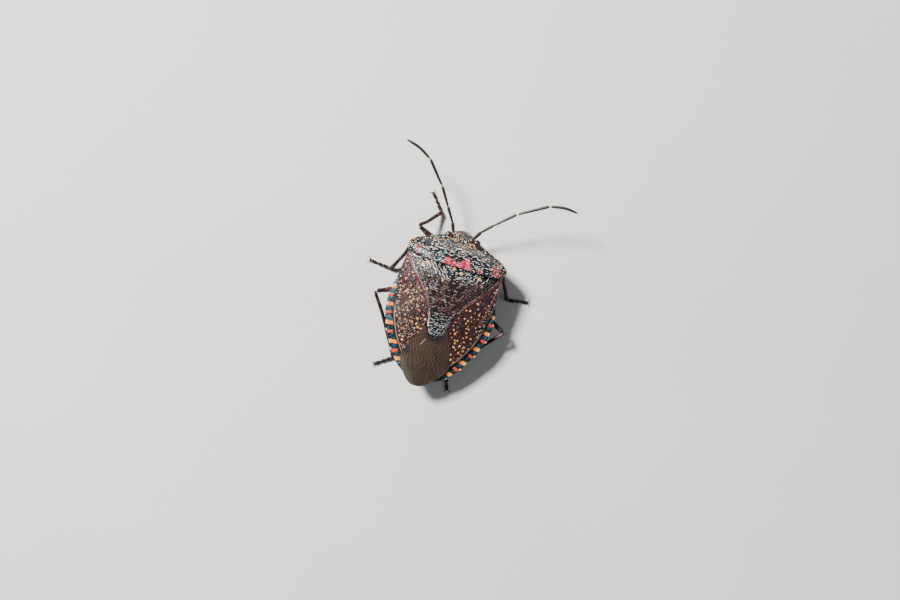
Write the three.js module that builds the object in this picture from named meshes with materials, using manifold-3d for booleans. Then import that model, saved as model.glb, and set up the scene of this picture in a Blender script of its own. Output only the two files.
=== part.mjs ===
// A shield bug, life size, standing with its wings closed.
// Millimetres, +Z up. The head points to -Y and the bug's left side is +X.
// Outlines, heights and joints are measured from the point on the floor below the tip of the
// scutellum. At the end the bug is moved so that the middle of its footprint is the origin.

import * as THREE from "three";
import { mergeVertices } from "three/addons/utils/BufferGeometryUtils.js";
import Module from "manifold-3d";

const wasm = await Module();
wasm.setup();
const { Manifold, Mesh } = wasm;

// Driving dimensions.
const GAP = 0.2; // between neighbouring plates, and at each joint
const JOINT = 0.26; // between two segments of an antenna, which meet at a slight angle
const EYE_GAP = 0.13;
const EYE_RADIUS = 0.44;
const EYE_AT = [1.64, -11.13, 3.08];
const FEELER_RADIUS = 0.26; // second to fifth segment
const SCAPE_RADIUS = 0.29; // first segment
const FEMUR_RADIUS = 0.36; // at its thickest
const KNEE_RADIUS = 0.27;
const KNEE_STOP = 0.12; // of the thigh before the middle of the knee
const TIBIA_RADIUS = 0.27;
const TARSUS_RADIUS = 0.26;
const TARSUS_SINK = 0.07; // how far a tarsus is flattened where it stands on the floor
const CLAW_LENGTH = 0.42;
const PRONOTUM_MIDDLE = 1.0; // thicknesses of the plates
const PRONOTUM_EDGE = 0.5;
const SCUTELLUM_LIFT = 0.12; // above the wings
const SCUTELLUM_MIDDLE = 0.75;
const SCUTELLUM_EDGE = 0.45;
const CORIUM_THICK = 0.5;
const CORIUM_EDGE = 0.36;
const MEMBRANE_THICK = 0.34;
const VEIN_HEIGHT = 0.07;
const VEINS = 7;
const ABDOMEN_BELOW = 0.72; // of its back under the wing surface, at the wing's edge
const ABDOMEN_HOLLOW = 0.68; // more of the same, on the midline
const RIM_THICK = 0.5;
const RIM_BELOW = 0.68; // of the banded rim under the wing's edge
const TOOTH = 0.09; // on the rim, behind each segment
const NOTCH = 0.1;

// Stations along the body.
const HEAD_TIP = -12.12;
const NECK_SIDE = -11.2; // back of the head beside the eyes
const NECK_MIDDLE = -10.72;
const PRONOTUM_FRONT = -10.54; // on the midline
const PRONOTUM_CORNER = -11.13; // its front corners, beside the eyes
const PRONOTUM_BACK = -7.65; // on the midline
const SHOULDER_BACK = -8.22; // its back edge at the sides
const SCUTELLUM_TIP = 0;
const THORAX_BACK = -4.95;
const ABDOMEN_FRONT = -4.72;
const ABDOMEN_TIP = 5.22;
const CORIUM_TIP = 2.75;
const WING_TIP = 5.9;
const SEGMENT_ENDS = [-2.9, -0.9, 0.95, 2.8, 4.25]; // of the banded rim

// Smooth curve through [station, value] pairs, level with its end values outside them.
function through(pairs) {
  const last = pairs.length - 1;
  const rise = (i) => (pairs[i + 1][1] - pairs[i][1]) / (pairs[i + 1][0] - pairs[i][0]);
  const slope = pairs.map((pair, i) => {
    if (i === 0) return rise(0);
    if (i === last) return rise(last - 1);
    const [before, after] = [rise(i - 1), rise(i)];
    return before * after > 0 ? (2 * before * after) / (before + after) : 0;
  });
  return (at) => {
    if (at <= pairs[0][0]) return pairs[0][1];
    if (at >= pairs[last][0]) return pairs[last][1];
    const i = pairs.findIndex((pair) => pair[0] > at) - 1;
    const span = pairs[i + 1][0] - pairs[i][0];
    const t = (at - pairs[i][0]) / span;
    const s = 1 - t;
    const ends = pairs[i][1] * (1 + 2 * t) * s * s + pairs[i + 1][1] * t * t * (3 - 2 * t);
    return ends + span * t * s * (slope[i] * s - slope[i + 1] * t);
  };
}

const mix = (a, b, t) => a + (b - a) * t;
const clamp = (v, low, high) => Math.max(low, Math.min(high, v));

// Half-widths seen from above, by station.
const headWidth = through([
  [HEAD_TIP, 0], [-12.06, 0.45], [-11.94, 0.77], [-11.6, 1.28], [-11.25, 1.5], [-10.9, 1.5],
]);
const pronotumWidth = through([
  [PRONOTUM_CORNER, 1.87], [-10.4, 3.47], [-9.7, 4.95], [-9.3, 5.42], [-8.9, 5.66],
  [-8.5, 5.65], [SHOULDER_BACK, 5.5],
]);
const scutellumWidth = through([
  [-7.45, 3.95], [-6.6, 3.5], [-5.5, 2.87], [-4.62, 2.36], [-3.3, 1.7], [-2.2, 1.32],
  [-1.1, 1.04], [-0.55, 0.84], [-0.2, 0.52], [SCUTELLUM_TIP, 0],
]);
const wingWidth = through([
  [-7.92, 5.44], [-6.6, 5.55], [-5.5, 5.61], [-4.4, 5.48], [-3.3, 5.31], [-2.2, 5.18],
  [-1.1, 4.95], [0, 4.55], [1.1, 4.0], [2.2, 3.3], [CORIUM_TIP, 2.87], [3.96, 2.42],
  [4.67, 1.87], [5.33, 1.2], [5.7, 0.74], [WING_TIP, 0],
]);
const sutureAt = through([
  [-0.9, 1.2], [-0.5, 1.33], [0.33, 1.7], [1.21, 2.16], [2.42, 2.64], [CORIUM_TIP, 2.86],
]);
const abdomenWidth = through([
  [ABDOMEN_FRONT, 5.74], [-4.4, 5.89], [-3.3, 6.0], [-2.4, 6.03], [-1.3, 5.89], [0, 5.5],
  [1.1, 4.98], [2.2, 4.37], [3.3, 3.62], [3.96, 3.0], [4.5, 2.4], [4.9, 1.6], [5.12, 0.85],
  [ABDOMEN_TIP, 0],
]);

// Heights above the floor, by station.
const pronotumCrown = through([
  [PRONOTUM_CORNER, 3.75], [PRONOTUM_FRONT, 4.05], [-9.9, 4.75], [-9.35, 5.3], [-8.36, 5.7],
  [PRONOTUM_BACK, 5.78],
]);
const pronotumMargin = through([
  [PRONOTUM_CORNER, 3.3], [-9.6, 4.05], [-8.9, 4.38], [SHOULDER_BACK, 4.35],
]);
const wingCrown = through([
  [-7.9, 5.7], [-6.4, 5.83], [-3.3, 5.28], [0, 4.3], [2.75, 3.7], [4, 3.45], [WING_TIP, 3.05],
]);
const wingMargin = through([
  [-7.7, 4.25], [-4, 3.95], [0, 3.6], [2.64, 3.2], [WING_TIP, 3.0],
]);
const headCrown = through([
  [HEAD_TIP, 2.5], [-11.9, 2.78], [-11.3, 3.36], [NECK_MIDDLE, 3.88],
]);
const headMargin = through([[HEAD_TIP, 2.42], [-11.6, 2.6], [NECK_SIDE, 2.85]]);
const belly = through([
  [HEAD_TIP, 2.1], [-11.6, 1.98], [-9.9, 1.9], [-7.26, 1.5], [-5.5, 1.35], [-4.2, 1.1],
  [-2, 0.8], [1, 0.8], [3, 1.1], [4.5, 1.45], [ABDOMEN_TIP, 1.95],
]);

// Surfaces over the plan of the bug.
const arch = (across) => 1 - Math.min(1, Math.abs(across)) ** 2.1;

function pronotumTop(x, y) {
  const across = x / pronotumWidth(y);
  return mix(pronotumMargin(y), pronotumCrown(y), arch(across));
}

function pronotumBottom(x, y) {
  const across = x / pronotumWidth(y);
  return pronotumTop(x, y) - mix(PRONOTUM_EDGE, PRONOTUM_MIDDLE, arch(across));
}

function wingTop(x, y) {
  const across = x / Math.max(0.5, wingWidth(y));
  return mix(wingMargin(y), wingCrown(y), arch(across));
}

function wingSlant(x, y) {
  return arch(x / Math.max(0.5, wingWidth(y)));
}

function scutellumTop(x, y) {
  return wingTop(x, y) + SCUTELLUM_LIFT;
}

function scutellumBottom(x, y) {
  const across = Math.abs(x) / Math.max(0.4, scutellumWidth(y));
  const thick = mix(SCUTELLUM_MIDDLE, SCUTELLUM_EDGE, Math.min(1, across) ** 2);
  return scutellumTop(x, y) - thick;
}

function underBack(x, y) {
  const underWings = wingTop(x, y) - mix(SCUTELLUM_EDGE, SCUTELLUM_MIDDLE, wingSlant(x, y));
  return Math.min(pronotumBottom(x, y), underWings) - GAP;
}

function abdomenBack(x, y) {
  const hidden = wingTop(x, y) - ABDOMEN_BELOW - ABDOMEN_HOLLOW * wingSlant(x, y);
  const rim = wingMargin(y) - RIM_BELOW;
  return Math.abs(x) < wingWidth(y) ? Math.min(hidden, rim) : rim;
}

// Closed solid from corners and triangles, with equal corners joined and faces turned outwards.
function solid(points, faces) {
  const seen = new Map();
  const kept = [];
  const index = points.map((p) => {
    const key = p.map((v) => Math.round(v * 1e4)).join();
    if (!seen.has(key)) {
      seen.set(key, kept.length);
      kept.push(p);
    }
    return seen.get(key);
  });
  const triangles = faces
    .map((f) => f.map((i) => index[i]))
    .filter(([a, b, c]) => a !== b && b !== c && a !== c);
  const six = triangles.reduce((sum, [a, b, c]) => {
    const [p, q, r] = [kept[a], kept[b], kept[c]];
    return sum + p[0] * (q[1] * r[2] - q[2] * r[1]) + p[1] * (q[2] * r[0] - q[0] * r[2])
      + p[2] * (q[0] * r[1] - q[1] * r[0]);
  }, 0);
  const turned = six < 0 ? triangles.map(([a, b, c]) => [a, c, b]) : triangles;
  return new Manifold(new Mesh({
    numProp: 3,
    vertProperties: new Float32Array(kept.flat()),
    triVerts: new Uint32Array(turned.flat()),
  }));
}

// Closed solid from a three.js geometry.
function solidOf(geometry) {
  geometry.deleteAttribute("normal");
  geometry.deleteAttribute("uv");
  const joined = mergeVertices(geometry, 1e-4);
  const spots = joined.getAttribute("position");
  const points = Array.from({ length: spots.count }, (_, i) => [spots.getX(i), spots.getY(i), spots.getZ(i)]);
  const faces = Array.from({ length: joined.index.count / 3 }, (_, i) =>
    [0, 1, 2].map((k) => joined.index.getX(3 * i + k)));
  return solid(points, faces);
}

// three.js geometry of a solid.
function geometryOf(body) {
  const data = body.getMesh();
  const geometry = new THREE.BufferGeometry();
  geometry.setAttribute("position", new THREE.BufferAttribute(data.vertProperties, 3));
  return geometry.setIndex(new THREE.BufferAttribute(data.triVerts, 1));
}

// Plate between two surfaces. at(s, t) is its plan: s runs 0 to 1 front to back, and t runs
// over the list of places across.
function plate({ at, top, bottom, rows, across }) {
  const points = [];
  const faces = [];
  const wide = across.length;
  const number = (layer, i, j) => (layer * (rows + 1) + i) * wide + j;
  for (const surface of [top, bottom]) {
    for (let i = 0; i <= rows; i++) {
      for (const t of across) {
        const [x, y] = at(i / rows, t);
        points.push([x, y, surface(x, y, i / rows, t)]);
      }
    }
  }
  const quad = (a, b, c, d) => faces.push([a, b, c], [a, c, d]);
  for (let i = 0; i < rows; i++) {
    for (let j = 0; j < wide - 1; j++) {
      quad(number(0, i, j), number(0, i + 1, j), number(0, i + 1, j + 1), number(0, i, j + 1));
      quad(number(1, i, j), number(1, i, j + 1), number(1, i + 1, j + 1), number(1, i + 1, j));
    }
    const end = wide - 1;
    quad(number(0, i, 0), number(1, i, 0), number(1, i + 1, 0), number(0, i + 1, 0));
    quad(number(0, i, end), number(0, i + 1, end), number(1, i + 1, end), number(1, i, end));
  }
  for (let j = 0; j < wide - 1; j++) {
    quad(number(0, 0, j), number(0, 0, j + 1), number(1, 0, j + 1), number(1, 0, j));
    quad(number(0, rows, j), number(1, rows, j), number(1, rows, j + 1), number(0, rows, j + 1));
  }
  return solid(points, faces);
}

const evenly = (from, to, count) =>
  Array.from({ length: count + 1 }, (_, i) => mix(from, to, i / count));
const crowded = (count) => evenly(-1, 1, count).map((t) => Math.sin((t * Math.PI) / 2));

// Limb swept along a smooth path, from "start" to "stop" millimetres along it. The radius is a
// function of the share of the way, and no corner goes below the floor.
function limb({ path, start = 0, stop = 0, radius, rings = 8, sides = 10, grow = 0 }) {
  const curve = new THREE.CatmullRomCurve3(path.map((p) => new THREE.Vector3(...p)));
  const length = curve.getLength();
  const first = (start - grow) / length;
  const final = 1 - (stop - grow) / length;
  const points = [];
  const faces = [];
  const spot = (share) => {
    const inside = clamp(share, 0, 1);
    const p = curve.getPointAt(inside);
    const along = curve.getTangentAt(inside);
    return { p: p.addScaledVector(along, (share - inside) * length), along };
  };
  for (let i = 0; i <= rings; i++) {
    const way = i / rings;
    const { p, along } = spot(mix(first, final, way));
    const side = new THREE.Vector3().crossVectors(along, new THREE.Vector3(0, 0, 1)).normalize();
    const up = new THREE.Vector3().crossVectors(side, along);
    const r = radius(way) + grow;
    for (let k = 0; k < sides; k++) {
      const angle = ((k + 0.5) / sides) * 2 * Math.PI;
      const corner = p.clone().addScaledVector(side, r * Math.cos(angle))
        .addScaledVector(up, r * Math.sin(angle));
      points.push([corner.x, corner.y, grow ? corner.z : Math.max(0, corner.z)]);
    }
  }
  const number = (i, k) => i * sides + (k % sides);
  for (let i = 0; i < rings; i++) {
    for (let k = 0; k < sides; k++) {
      faces.push([number(i, k), number(i + 1, k), number(i + 1, k + 1)]);
      faces.push([number(i, k), number(i + 1, k + 1), number(i, k + 1)]);
    }
  }
  for (let k = 1; k < sides - 1; k++) {
    faces.push([number(0, 0), number(0, k), number(0, k + 1)]);
    faces.push([number(rings, 0), number(rings, k + 1), number(rings, k)]);
  }
  return solid(points, faces);
}

// Largest closed surface of a solid, as one body.
function largest(body) {
  const bodies = body.decompose();
  return bodies.reduce((best, one) => (one.volume() > best.volume() ? one : best));
}

const carve = (body, cutters) => largest(Manifold.difference([body, ...cutters]));

const nodes = {};
const colours = {};

function node(name, body, colour) {
  nodes[name] = body;
  colours[name] = colour;
}

const BLACK = 0x15151a;
const SHELL = 0x2c3138;
const WINE = 0x4a1d1c;
const SMOKE = 0x4e4636;
const TEAL = 0x2e6470;
const LEG = 0x1c1412;
const EYE = 0x3a1a16;

const SIDES = [["left", 1], ["right", -1]];

// Antennae: joint positions from the head outwards.
const FEELER_JOINTS = {
  left: [
    [1.27, -11.86, 2.4], [1.6, -12.55, 2.75], [2.66, -14.02, 3.4], [3.95, -15.8, 4.2],
    [6.1, -18.06, 5.1], [9.18, -19.23, 5.5],
  ],
  right: [
    [-1.36, -11.86, 2.4], [-1.72, -12.5, 2.75], [-2.75, -13.53, 3.4], [-4.77, -15.38, 4.2],
    [-7.87, -17.2, 5.1], [-11.07, -17.41, 5.5],
  ],
};
const FEELER_BENDS = {
  left: [7.6, -18.82, 5.38],
  right: [-9.5, -17.5, 5.38],
};

function feeler(side, segment, grow = 0) {
  const joints = FEELER_JOINTS[side];
  const path = [joints[segment], joints[segment + 1]];
  if (segment === 4) path.splice(1, 0, FEELER_BENDS[side]);
  const thick = segment === 0 ? SCAPE_RADIUS : FEELER_RADIUS;
  const radius = (way) => {
    if (segment === 4) return thick * (way < 0.8 ? 1 : 1 - 2.6 * (way - 0.8));
    return thick * (way < 0.1 || way > 0.9 ? 0.9 : 1);
  };
  const start = segment === 0 ? 0 : JOINT / 2;
  const stop = segment === 4 ? 0 : JOINT / 2;
  const rings = segment === 4 ? 9 : 4;
  return limb({ path, start, stop, radius, rings, sides: 8, grow });
}

// Legs: hip, knee, foot joint and toe of each.
const ANKLE = 0.42;
const LEGS = {
  fore_left: [[1.35, -9.5, 1.5], [4.96, -11.06, 2.75], [2.99, -13.67, ANKLE], [4.53, -15.51]],
  fore_right: [[-1.35, -9.5, 1.5], [-4.3, -9.3, 2.75], [-4.2, -9.95, ANKLE], [-2.4, -10.8]],
  mid_left: [[1.35, -7.26, 1.15], [5.14, -8.69, 2.85], [6.56, -5.82, ANKLE], [9.01, -6.04]],
  mid_right: [[-1.35, -7.26, 1.15], [-5.28, -9.02, 2.85], [-7.11, -6.37, ANKLE], [-9.42, -6.85]],
  hind_left: [[1.35, -5.5, 1.05], [7.37, -2.81, 2.5], [3.3, 3.64, ANKLE], [5.12, 4.92]],
  hind_right: [[-1.35, -5.5, 1.05], [-7.44, -2.65, 2.5], [-2.8, 3.4, ANKLE], [-3.56, 5.29]],
};

const bulge = through([[0, 0.3], [0.12, 0.34], [0.45, FEMUR_RADIUS], [0.85, 0.3], [1, KNEE_RADIUS * 0.8]]);

function femur(leg, grow = 0) {
  const [hip, knee] = LEGS[leg];
  return limb({ path: [hip, knee], stop: KNEE_STOP, radius: bulge, rings: 7, sides: 9, grow });
}

// Shin, which starts as near the knee as the gap allows at the angle of the two.
function tibia(leg) {
  const [hip, knee, ankle] = LEGS[leg].map((p) => new THREE.Vector3(...p));
  const bend = hip.sub(knee).angleTo(ankle.sub(knee));
  const start = Math.min(0.9, (0.85 * (KNEE_RADIUS + TIBIA_RADIUS) + GAP) / Math.sin(bend));
  const radius = (way) => TIBIA_RADIUS * (way < 0.05 ? 0.85 : 1);
  return limb({ path: LEGS[leg].slice(1, 3), start, radius, rings: 4, sides: 8 });
}

function tarsus(leg) {
  const [, , ankle, toe] = LEGS[leg];
  const level = TARSUS_RADIUS - TARSUS_SINK;
  const from = [ankle[0], ankle[1], level];
  const to = [toe[0], toe[1], level];
  const long = Math.hypot(toe[0] - ankle[0], toe[1] - ankle[1]);
  const start = TIBIA_RADIUS + GAP;
  const radius = (way) => {
    const joint = [0, 0.4, 0.7, 1].some((at) => Math.abs(way - at) < 0.035);
    return TARSUS_RADIUS * (joint ? 0.85 : 1);
  };
  const foot = limb({ path: [from, to], start, radius, rings: 10, sides: 8 });
  const heading = [(toe[0] - ankle[0]) / long, (toe[1] - ankle[1]) / long];
  const claws = [-1, 1].map((turn) => {
    const spread = [heading[0] - turn * 0.75 * heading[1], heading[1] + turn * 0.75 * heading[0]];
    const root = [toe[0] - 0.15 * heading[0], toe[1] - 0.15 * heading[1], level];
    const middle = root.map((v, i) => (i < 2 ? v + spread[i] * CLAW_LENGTH * 0.6 : level * 0.95));
    const tip = root.map((v, i) => (i < 2 ? v + spread[i] * CLAW_LENGTH : 0.09));
    const taper = (way) => mix(0.15, 0.06, way);
    return limb({ path: [root, middle, tip], radius: taper, rings: 2, sides: 5 });
  });
  return largest(Manifold.union([foot, ...claws]));
}

// Head, with an eye let into each back corner.
function eye(sign, grow = 0) {
  const ball = new THREE.SphereGeometry(EYE_RADIUS + grow, 14, 10);
  return solidOf(ball.translate(EYE_AT[0] * sign, EYE_AT[1], EYE_AT[2]));
}

const rostrumPath = [[0, -11.82, 1.62], [0, -10.9, 1.52], [0, -9.4, 1.42], [0, -7.6, 1.08], [0, -6.2, 0.9]];

function rostrum(grow = 0) {
  const radius = (way) => mix(0.28, 0.25, way);
  return limb({ path: rostrumPath, radius, rings: 9, sides: 8, grow });
}

const head = plate({
  at: (s, t) => {
    const side = mix(HEAD_TIP, NECK_SIDE, 1 - (1 - s) ** 1.6);
    const x = t * headWidth(side);
    return [x, side + (NECK_MIDDLE - NECK_SIDE) * s * s * (1 - t * t)];
  },
  top: (x, y, s, t) => mix(headMargin(y), headCrown(y), 1 - Math.abs(t) ** 2.2),
  bottom: (x, y, s, t) => mix(belly(y), headMargin(y) - 0.3, Math.abs(t) ** 2.4),
  rows: 10,
  across: crowded(14),
});
const feelerRoots = SIDES.map(([side]) => feeler(side, 0, GAP * 0.75));
const sockets = SIDES.map(([, sign]) => eye(sign, EYE_GAP));
node("head", carve(head, [...sockets, ...feelerRoots, rostrum(GAP)]), SHELL);
node("rostrum", rostrum(), BLACK);
for (const [side, sign] of SIDES) node("eye_" + side, eye(sign), EYE);

// Pronotum.
function pronotumPlan(s, t, shrink = 1) {
  const side = mix(PRONOTUM_CORNER, SHOULDER_BACK, s);
  const middle = mix(PRONOTUM_FRONT, PRONOTUM_BACK, s);
  const bend = mix(1.6, 5, s);
  return [t * pronotumWidth(side) * shrink, mix(middle, side, Math.abs(t) ** bend)];
}

const pronotum = plate({
  at: pronotumPlan,
  top: (x, y, s, t) => {
    const side = mix(PRONOTUM_CORNER, SHOULDER_BACK, s);
    return mix(pronotumMargin(side), pronotumCrown(y), arch(t));
  },
  bottom: (x, y, s, t) => {
    const side = mix(PRONOTUM_CORNER, SHOULDER_BACK, s);
    const top = mix(pronotumMargin(side), pronotumCrown(y), arch(t));
    return top - mix(PRONOTUM_EDGE, PRONOTUM_MIDDLE, arch(t));
  },
  rows: 10,
  across: crowded(20),
});
node("pronotum", carve(pronotum, sockets), SHELL);

// Scutellum.
node("scutellum", plate({
  at: (s, t) => {
    const y = mix(PRONOTUM_BACK + GAP, SCUTELLUM_TIP, s);
    return [t * scutellumWidth(y), y];
  },
  top: scutellumTop,
  bottom: scutellumBottom,
  rows: 16,
  across: crowded(10),
}), SHELL);

// Leathery front part of each wing.
function coriumPlan(s, t) {
  const front = mix(PRONOTUM_BACK, SHOULDER_BACK, t ** 3) + GAP;
  const y = mix(front, CORIUM_TIP, s);
  const inner = y < -0.8 ? scutellumWidth(y) + GAP * 1.1 : sutureAt(y) + GAP * 0.1;
  const blend = clamp((y + 1.6) / 0.8, 0, 1);
  const edge = mix(Math.min(scutellumWidth(y) + GAP * 1.1, 4.3), Math.max(inner, sutureAt(y)), blend);
  const outer = Math.max(wingWidth(y), edge + 0.05);
  return [mix(edge, outer, t), y];
}

const coriumThick = (t) => mix(CORIUM_EDGE, CORIUM_THICK, 1 - Math.abs(2 * t - 1) ** 4);
for (const [side, sign] of SIDES) {
  node("corium_" + side, plate({
    at: (s, t) => {
      const [x, y] = coriumPlan(s, t);
      return [x * sign, y];
    },
    top: wingTop,
    bottom: (x, y, s, t) => wingTop(x, y) - coriumThick(t),
    rows: 18,
    across: evenly(0, 1, 7),
  }), WINE);
}

// Thin hind part of each wing, the left one over the right one. Its veins are ridges that fan
// from the seam with the leathery part to the free edge.
const seam = (t) => {
  const y = mix(0.32, CORIUM_TIP, t);
  return [Math.max(0, sutureAt(y) - GAP), y];
};
const freeEdge = through([[0, -1.9], [0.25, -1.25], [0.5, 0], [0.75, 1.35], [1, 2.5]]);

function edgeStation(x) {
  let [low, high] = [2.75, WING_TIP];
  for (let i = 0; i < 30; i++) {
    const y = (low + high) / 2;
    if (wingWidth(y) > Math.abs(x)) low = y;
    else high = y;
  }
  return low;
}

function membranePlan(s, t) {
  const near = clamp(t * 4, 0, 1);
  const inner = [mix(0, seam(t)[0], near ** 0.8), mix(GAP, seam(t)[1], near)];
  const x = freeEdge(t);
  const outer = [x, edgeStation(x)];
  const sway = 0.35 * Math.sin(Math.PI * s) * (1 - t);
  return [mix(inner[0], outer[0], s) + sway * 0.6, mix(inner[1], outer[1], s)];
}

const veinAt = (t) => {
  const off = Math.abs(t * (VEINS + 1) - Math.round(t * (VEINS + 1)));
  const counts = t > 0.06 && t < 0.94;
  return counts && off < 0.12 ? VEIN_HEIGHT : 0;
};
node("membrane_left", plate({
  at: membranePlan,
  top: (x, y, s, t) => wingTop(x, y) + veinAt(t) * Math.min(1, 6 * s * (1 - s) + 0.2),
  bottom: (x, y) => wingTop(x, y) - MEMBRANE_THICK,
  rows: 7,
  across: evenly(0, 1, (VEINS + 1) * 4),
}), SMOKE);

// The right one shows as a strip beside the right seam, and lies below the left one elsewhere.
const stripEdge = (y) => mix(0, -1.9, clamp(y / 4.6, 0, 1));
function underPlan(s, t) {
  const y = mix(0.25, 5.45, s);
  const outer = y < CORIUM_TIP ? sutureAt(y) - GAP : wingWidth(y);
  const inner = Math.min(0.6, outer * 0.4) * clamp((y - 0.2) * 2, 0, 1);
  return [mix(-outer, inner, t), y];
}
const underTop = (x, y) => {
  const past = clamp((stripEdge(y) - x - 0.15) / 0.5, 0, 1);
  const depth = MEMBRANE_THICK + GAP;
  return wingTop(x, y) - mix(depth, 0.1, past * past * (3 - 2 * past));
};
const underRidges = [1 / 7, 2 / 7, 3 / 7];
node("membrane_right", carve(plate({
  at: underPlan,
  top: (x, y, s, t) => {
    const ridge = underRidges.some((at) => Math.abs(t - at) < 0.025);
    return underTop(x, y) + (ridge && stripEdge(y) - x > 0.75 ? VEIN_HEIGHT : 0);
  },
  bottom: (x, y) => underTop(x, y) - MEMBRANE_THICK,
  rows: 14,
  across: evenly(0, 1, 14),
}), [
  plate({
    at: (s, t) => membranePlan(s, mix(-0.08, 1.05, t)),
    top: () => 8,
    bottom: (x, y) => wingTop(x, y) - MEMBRANE_THICK - GAP + 0.01,
    rows: 10,
    across: evenly(0, 1, 16),
  }),
]), SMOKE);

// Room under plates that lie over a body.
const below = (...names) =>
  names.map((name) => solidOf(geometryOf(nodes[name]).translate(0, 0, -GAP)));

// Thorax, below the pronotum and the front of the wings.
const thoraxFront = PRONOTUM_CORNER + 0.12;
const thoraxWidth = through([
  [thoraxFront, 1.7], [-10.4, 3.2], [-9.7, 4.7], [-9.3, 5.2], [-8.9, 5.42], [-7.92, 5.3],
  [-5.5, 5.4], [THORAX_BACK, 5.3],
]);
const thorax = plate({
  at: (s, t) => {
    const side = mix(thoraxFront, THORAX_BACK, s);
    const middle = mix(PRONOTUM_FRONT, THORAX_BACK, s);
    return [t * thoraxWidth(side), mix(middle, side, Math.abs(t) ** 1.6)];
  },
  top: (x, y) => underBack(x, y) - 0.08,
  bottom: (x, y, s, t) => {
    const edge = underBack(thoraxWidth(y), y) - 0.4;
    return Math.min(underBack(x, y) - 0.4, mix(belly(y), edge, Math.abs(t) ** 1.7));
  },
  rows: 12,
  across: crowded(14),
});
const legNames = Object.keys(LEGS);
const femurRooms = legNames.map((leg) => femur(leg, GAP));
node("thorax", carve(thorax, [
  ...femurRooms, rostrum(GAP), ...sockets,
  ...below("pronotum", "scutellum", "corium_left", "corium_right"),
]), BLACK);

// Abdomen, with a flat banded rim outside the wings. Each segment of the rim ends in a tooth.
function toothAt(y) {
  return SEGMENT_ENDS.reduce((most, end) => {
    const off = y - end;
    const near = off < 0 ? 1 + off / 0.75 : 1 - off / 0.22;
    return Math.max(most, clamp(near, 0, 1));
  }, 0);
}

const acrossAbdomen = [0, 0.25, 0.48, 0.68, 0.84, 0.95, 1.02, 1.35, 1.7, 2];
const abdomen = plate({
  at: (s, t) => {
    const y = mix(ABDOMEN_FRONT, ABDOMEN_TIP, s);
    const full = abdomenWidth(y);
    const rim = full + TOOTH * toothAt(y) * Math.min(1, full);
    const wing = Math.min(wingWidth(y) - 0.02, full * 0.92);
    const far = Math.abs(t) <= 1 ? Math.abs(t) * wing : mix(wing, rim, Math.abs(t) - 1);
    return [Math.sign(t) * far, y];
  },
  top: (x, y, s, t) => {
    const notch = SEGMENT_ENDS.some((end) => Math.abs(y - end - 0.12) < 0.14) ? NOTCH : 0;
    const back = abdomenBack(x, y) - (Math.abs(t) > 1.02 ? notch : 0);
    return Math.max(back, belly(y) + 0.35);
  },
  bottom: (x, y, s, t) => {
    const full = abdomenWidth(y) + 0.01;
    const rim = wingMargin(y) - RIM_BELOW - RIM_THICK;
    return mix(belly(y), rim, Math.min(1, Math.abs(x) / full) ** 2);
  },
  rows: 30,
  across: [...acrossAbdomen.slice(1).map((t) => -t).reverse(), ...acrossAbdomen],
});
node("abdomen", carve(abdomen, [
  ...femurRooms,
  ...below("scutellum", "corium_left", "corium_right", "membrane_left", "membrane_right"),
]), TEAL);

for (const leg of legNames) {
  node("femur_" + leg, femur(leg), LEG);
  node("tibia_" + leg, tibia(leg), LEG);
  node("tarsus_" + leg, tarsus(leg), BLACK);
}

for (const [side] of SIDES) {
  for (let segment = 0; segment < 5; segment++) {
    node("antenna_" + side + "_" + (segment + 1), feeler(side, segment), BLACK);
  }
}

// Bug, moved so that the middle of its footprint is the origin.
const bug = new THREE.Group();
bug.name = "shield_bug";
for (const [name, body] of Object.entries(nodes)) {
  const skin = new THREE.MeshStandardMaterial({ color: colours[name], roughness: 0.4 });
  const piece = new THREE.Mesh(geometryOf(body), skin);
  piece.geometry.computeVertexNormals();
  piece.name = name;
  bug.add(piece);
}
const middle = new THREE.Box3().setFromObject(bug).getCenter(new THREE.Vector3());
for (const piece of bug.children) piece.position.set(-middle.x, -middle.y, 0);

export default bug;
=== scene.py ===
"""A shield bug, life size, standing with its wings closed.

Lengths below are in millimetres from the point on the floor under the tip of the scutellum,
with the head towards -Y and the bug's left side towards +X. Each finished mesh is in metres in
the frame's own place. The whole number in a call for noise or marks is its seed.
"""

import math

import bpy
import numpy as np
from mathutils import Matrix, Vector


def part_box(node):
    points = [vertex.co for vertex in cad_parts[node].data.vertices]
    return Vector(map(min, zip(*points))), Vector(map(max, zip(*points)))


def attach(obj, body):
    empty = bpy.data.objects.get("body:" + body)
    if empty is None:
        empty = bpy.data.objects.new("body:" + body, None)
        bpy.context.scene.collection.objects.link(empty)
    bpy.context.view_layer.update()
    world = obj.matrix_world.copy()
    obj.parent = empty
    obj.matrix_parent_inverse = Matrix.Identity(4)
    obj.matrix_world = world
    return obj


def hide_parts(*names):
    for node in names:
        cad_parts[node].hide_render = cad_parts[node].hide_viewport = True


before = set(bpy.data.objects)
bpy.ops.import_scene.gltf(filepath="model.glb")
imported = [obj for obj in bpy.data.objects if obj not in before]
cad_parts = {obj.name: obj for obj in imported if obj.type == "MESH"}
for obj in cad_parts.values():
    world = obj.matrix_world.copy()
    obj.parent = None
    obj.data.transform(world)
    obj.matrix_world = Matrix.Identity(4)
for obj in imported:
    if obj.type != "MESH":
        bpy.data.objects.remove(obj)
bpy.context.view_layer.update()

MM = 0.001
TAU = 2 * math.pi

# Place of the scutellum's tip in the frame.
tip_low, tip_high = (np.array(corner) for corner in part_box("scutellum"))
TIP = np.array([(tip_low[0] + tip_high[0]) / 2, tip_high[1], 0.0])

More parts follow.
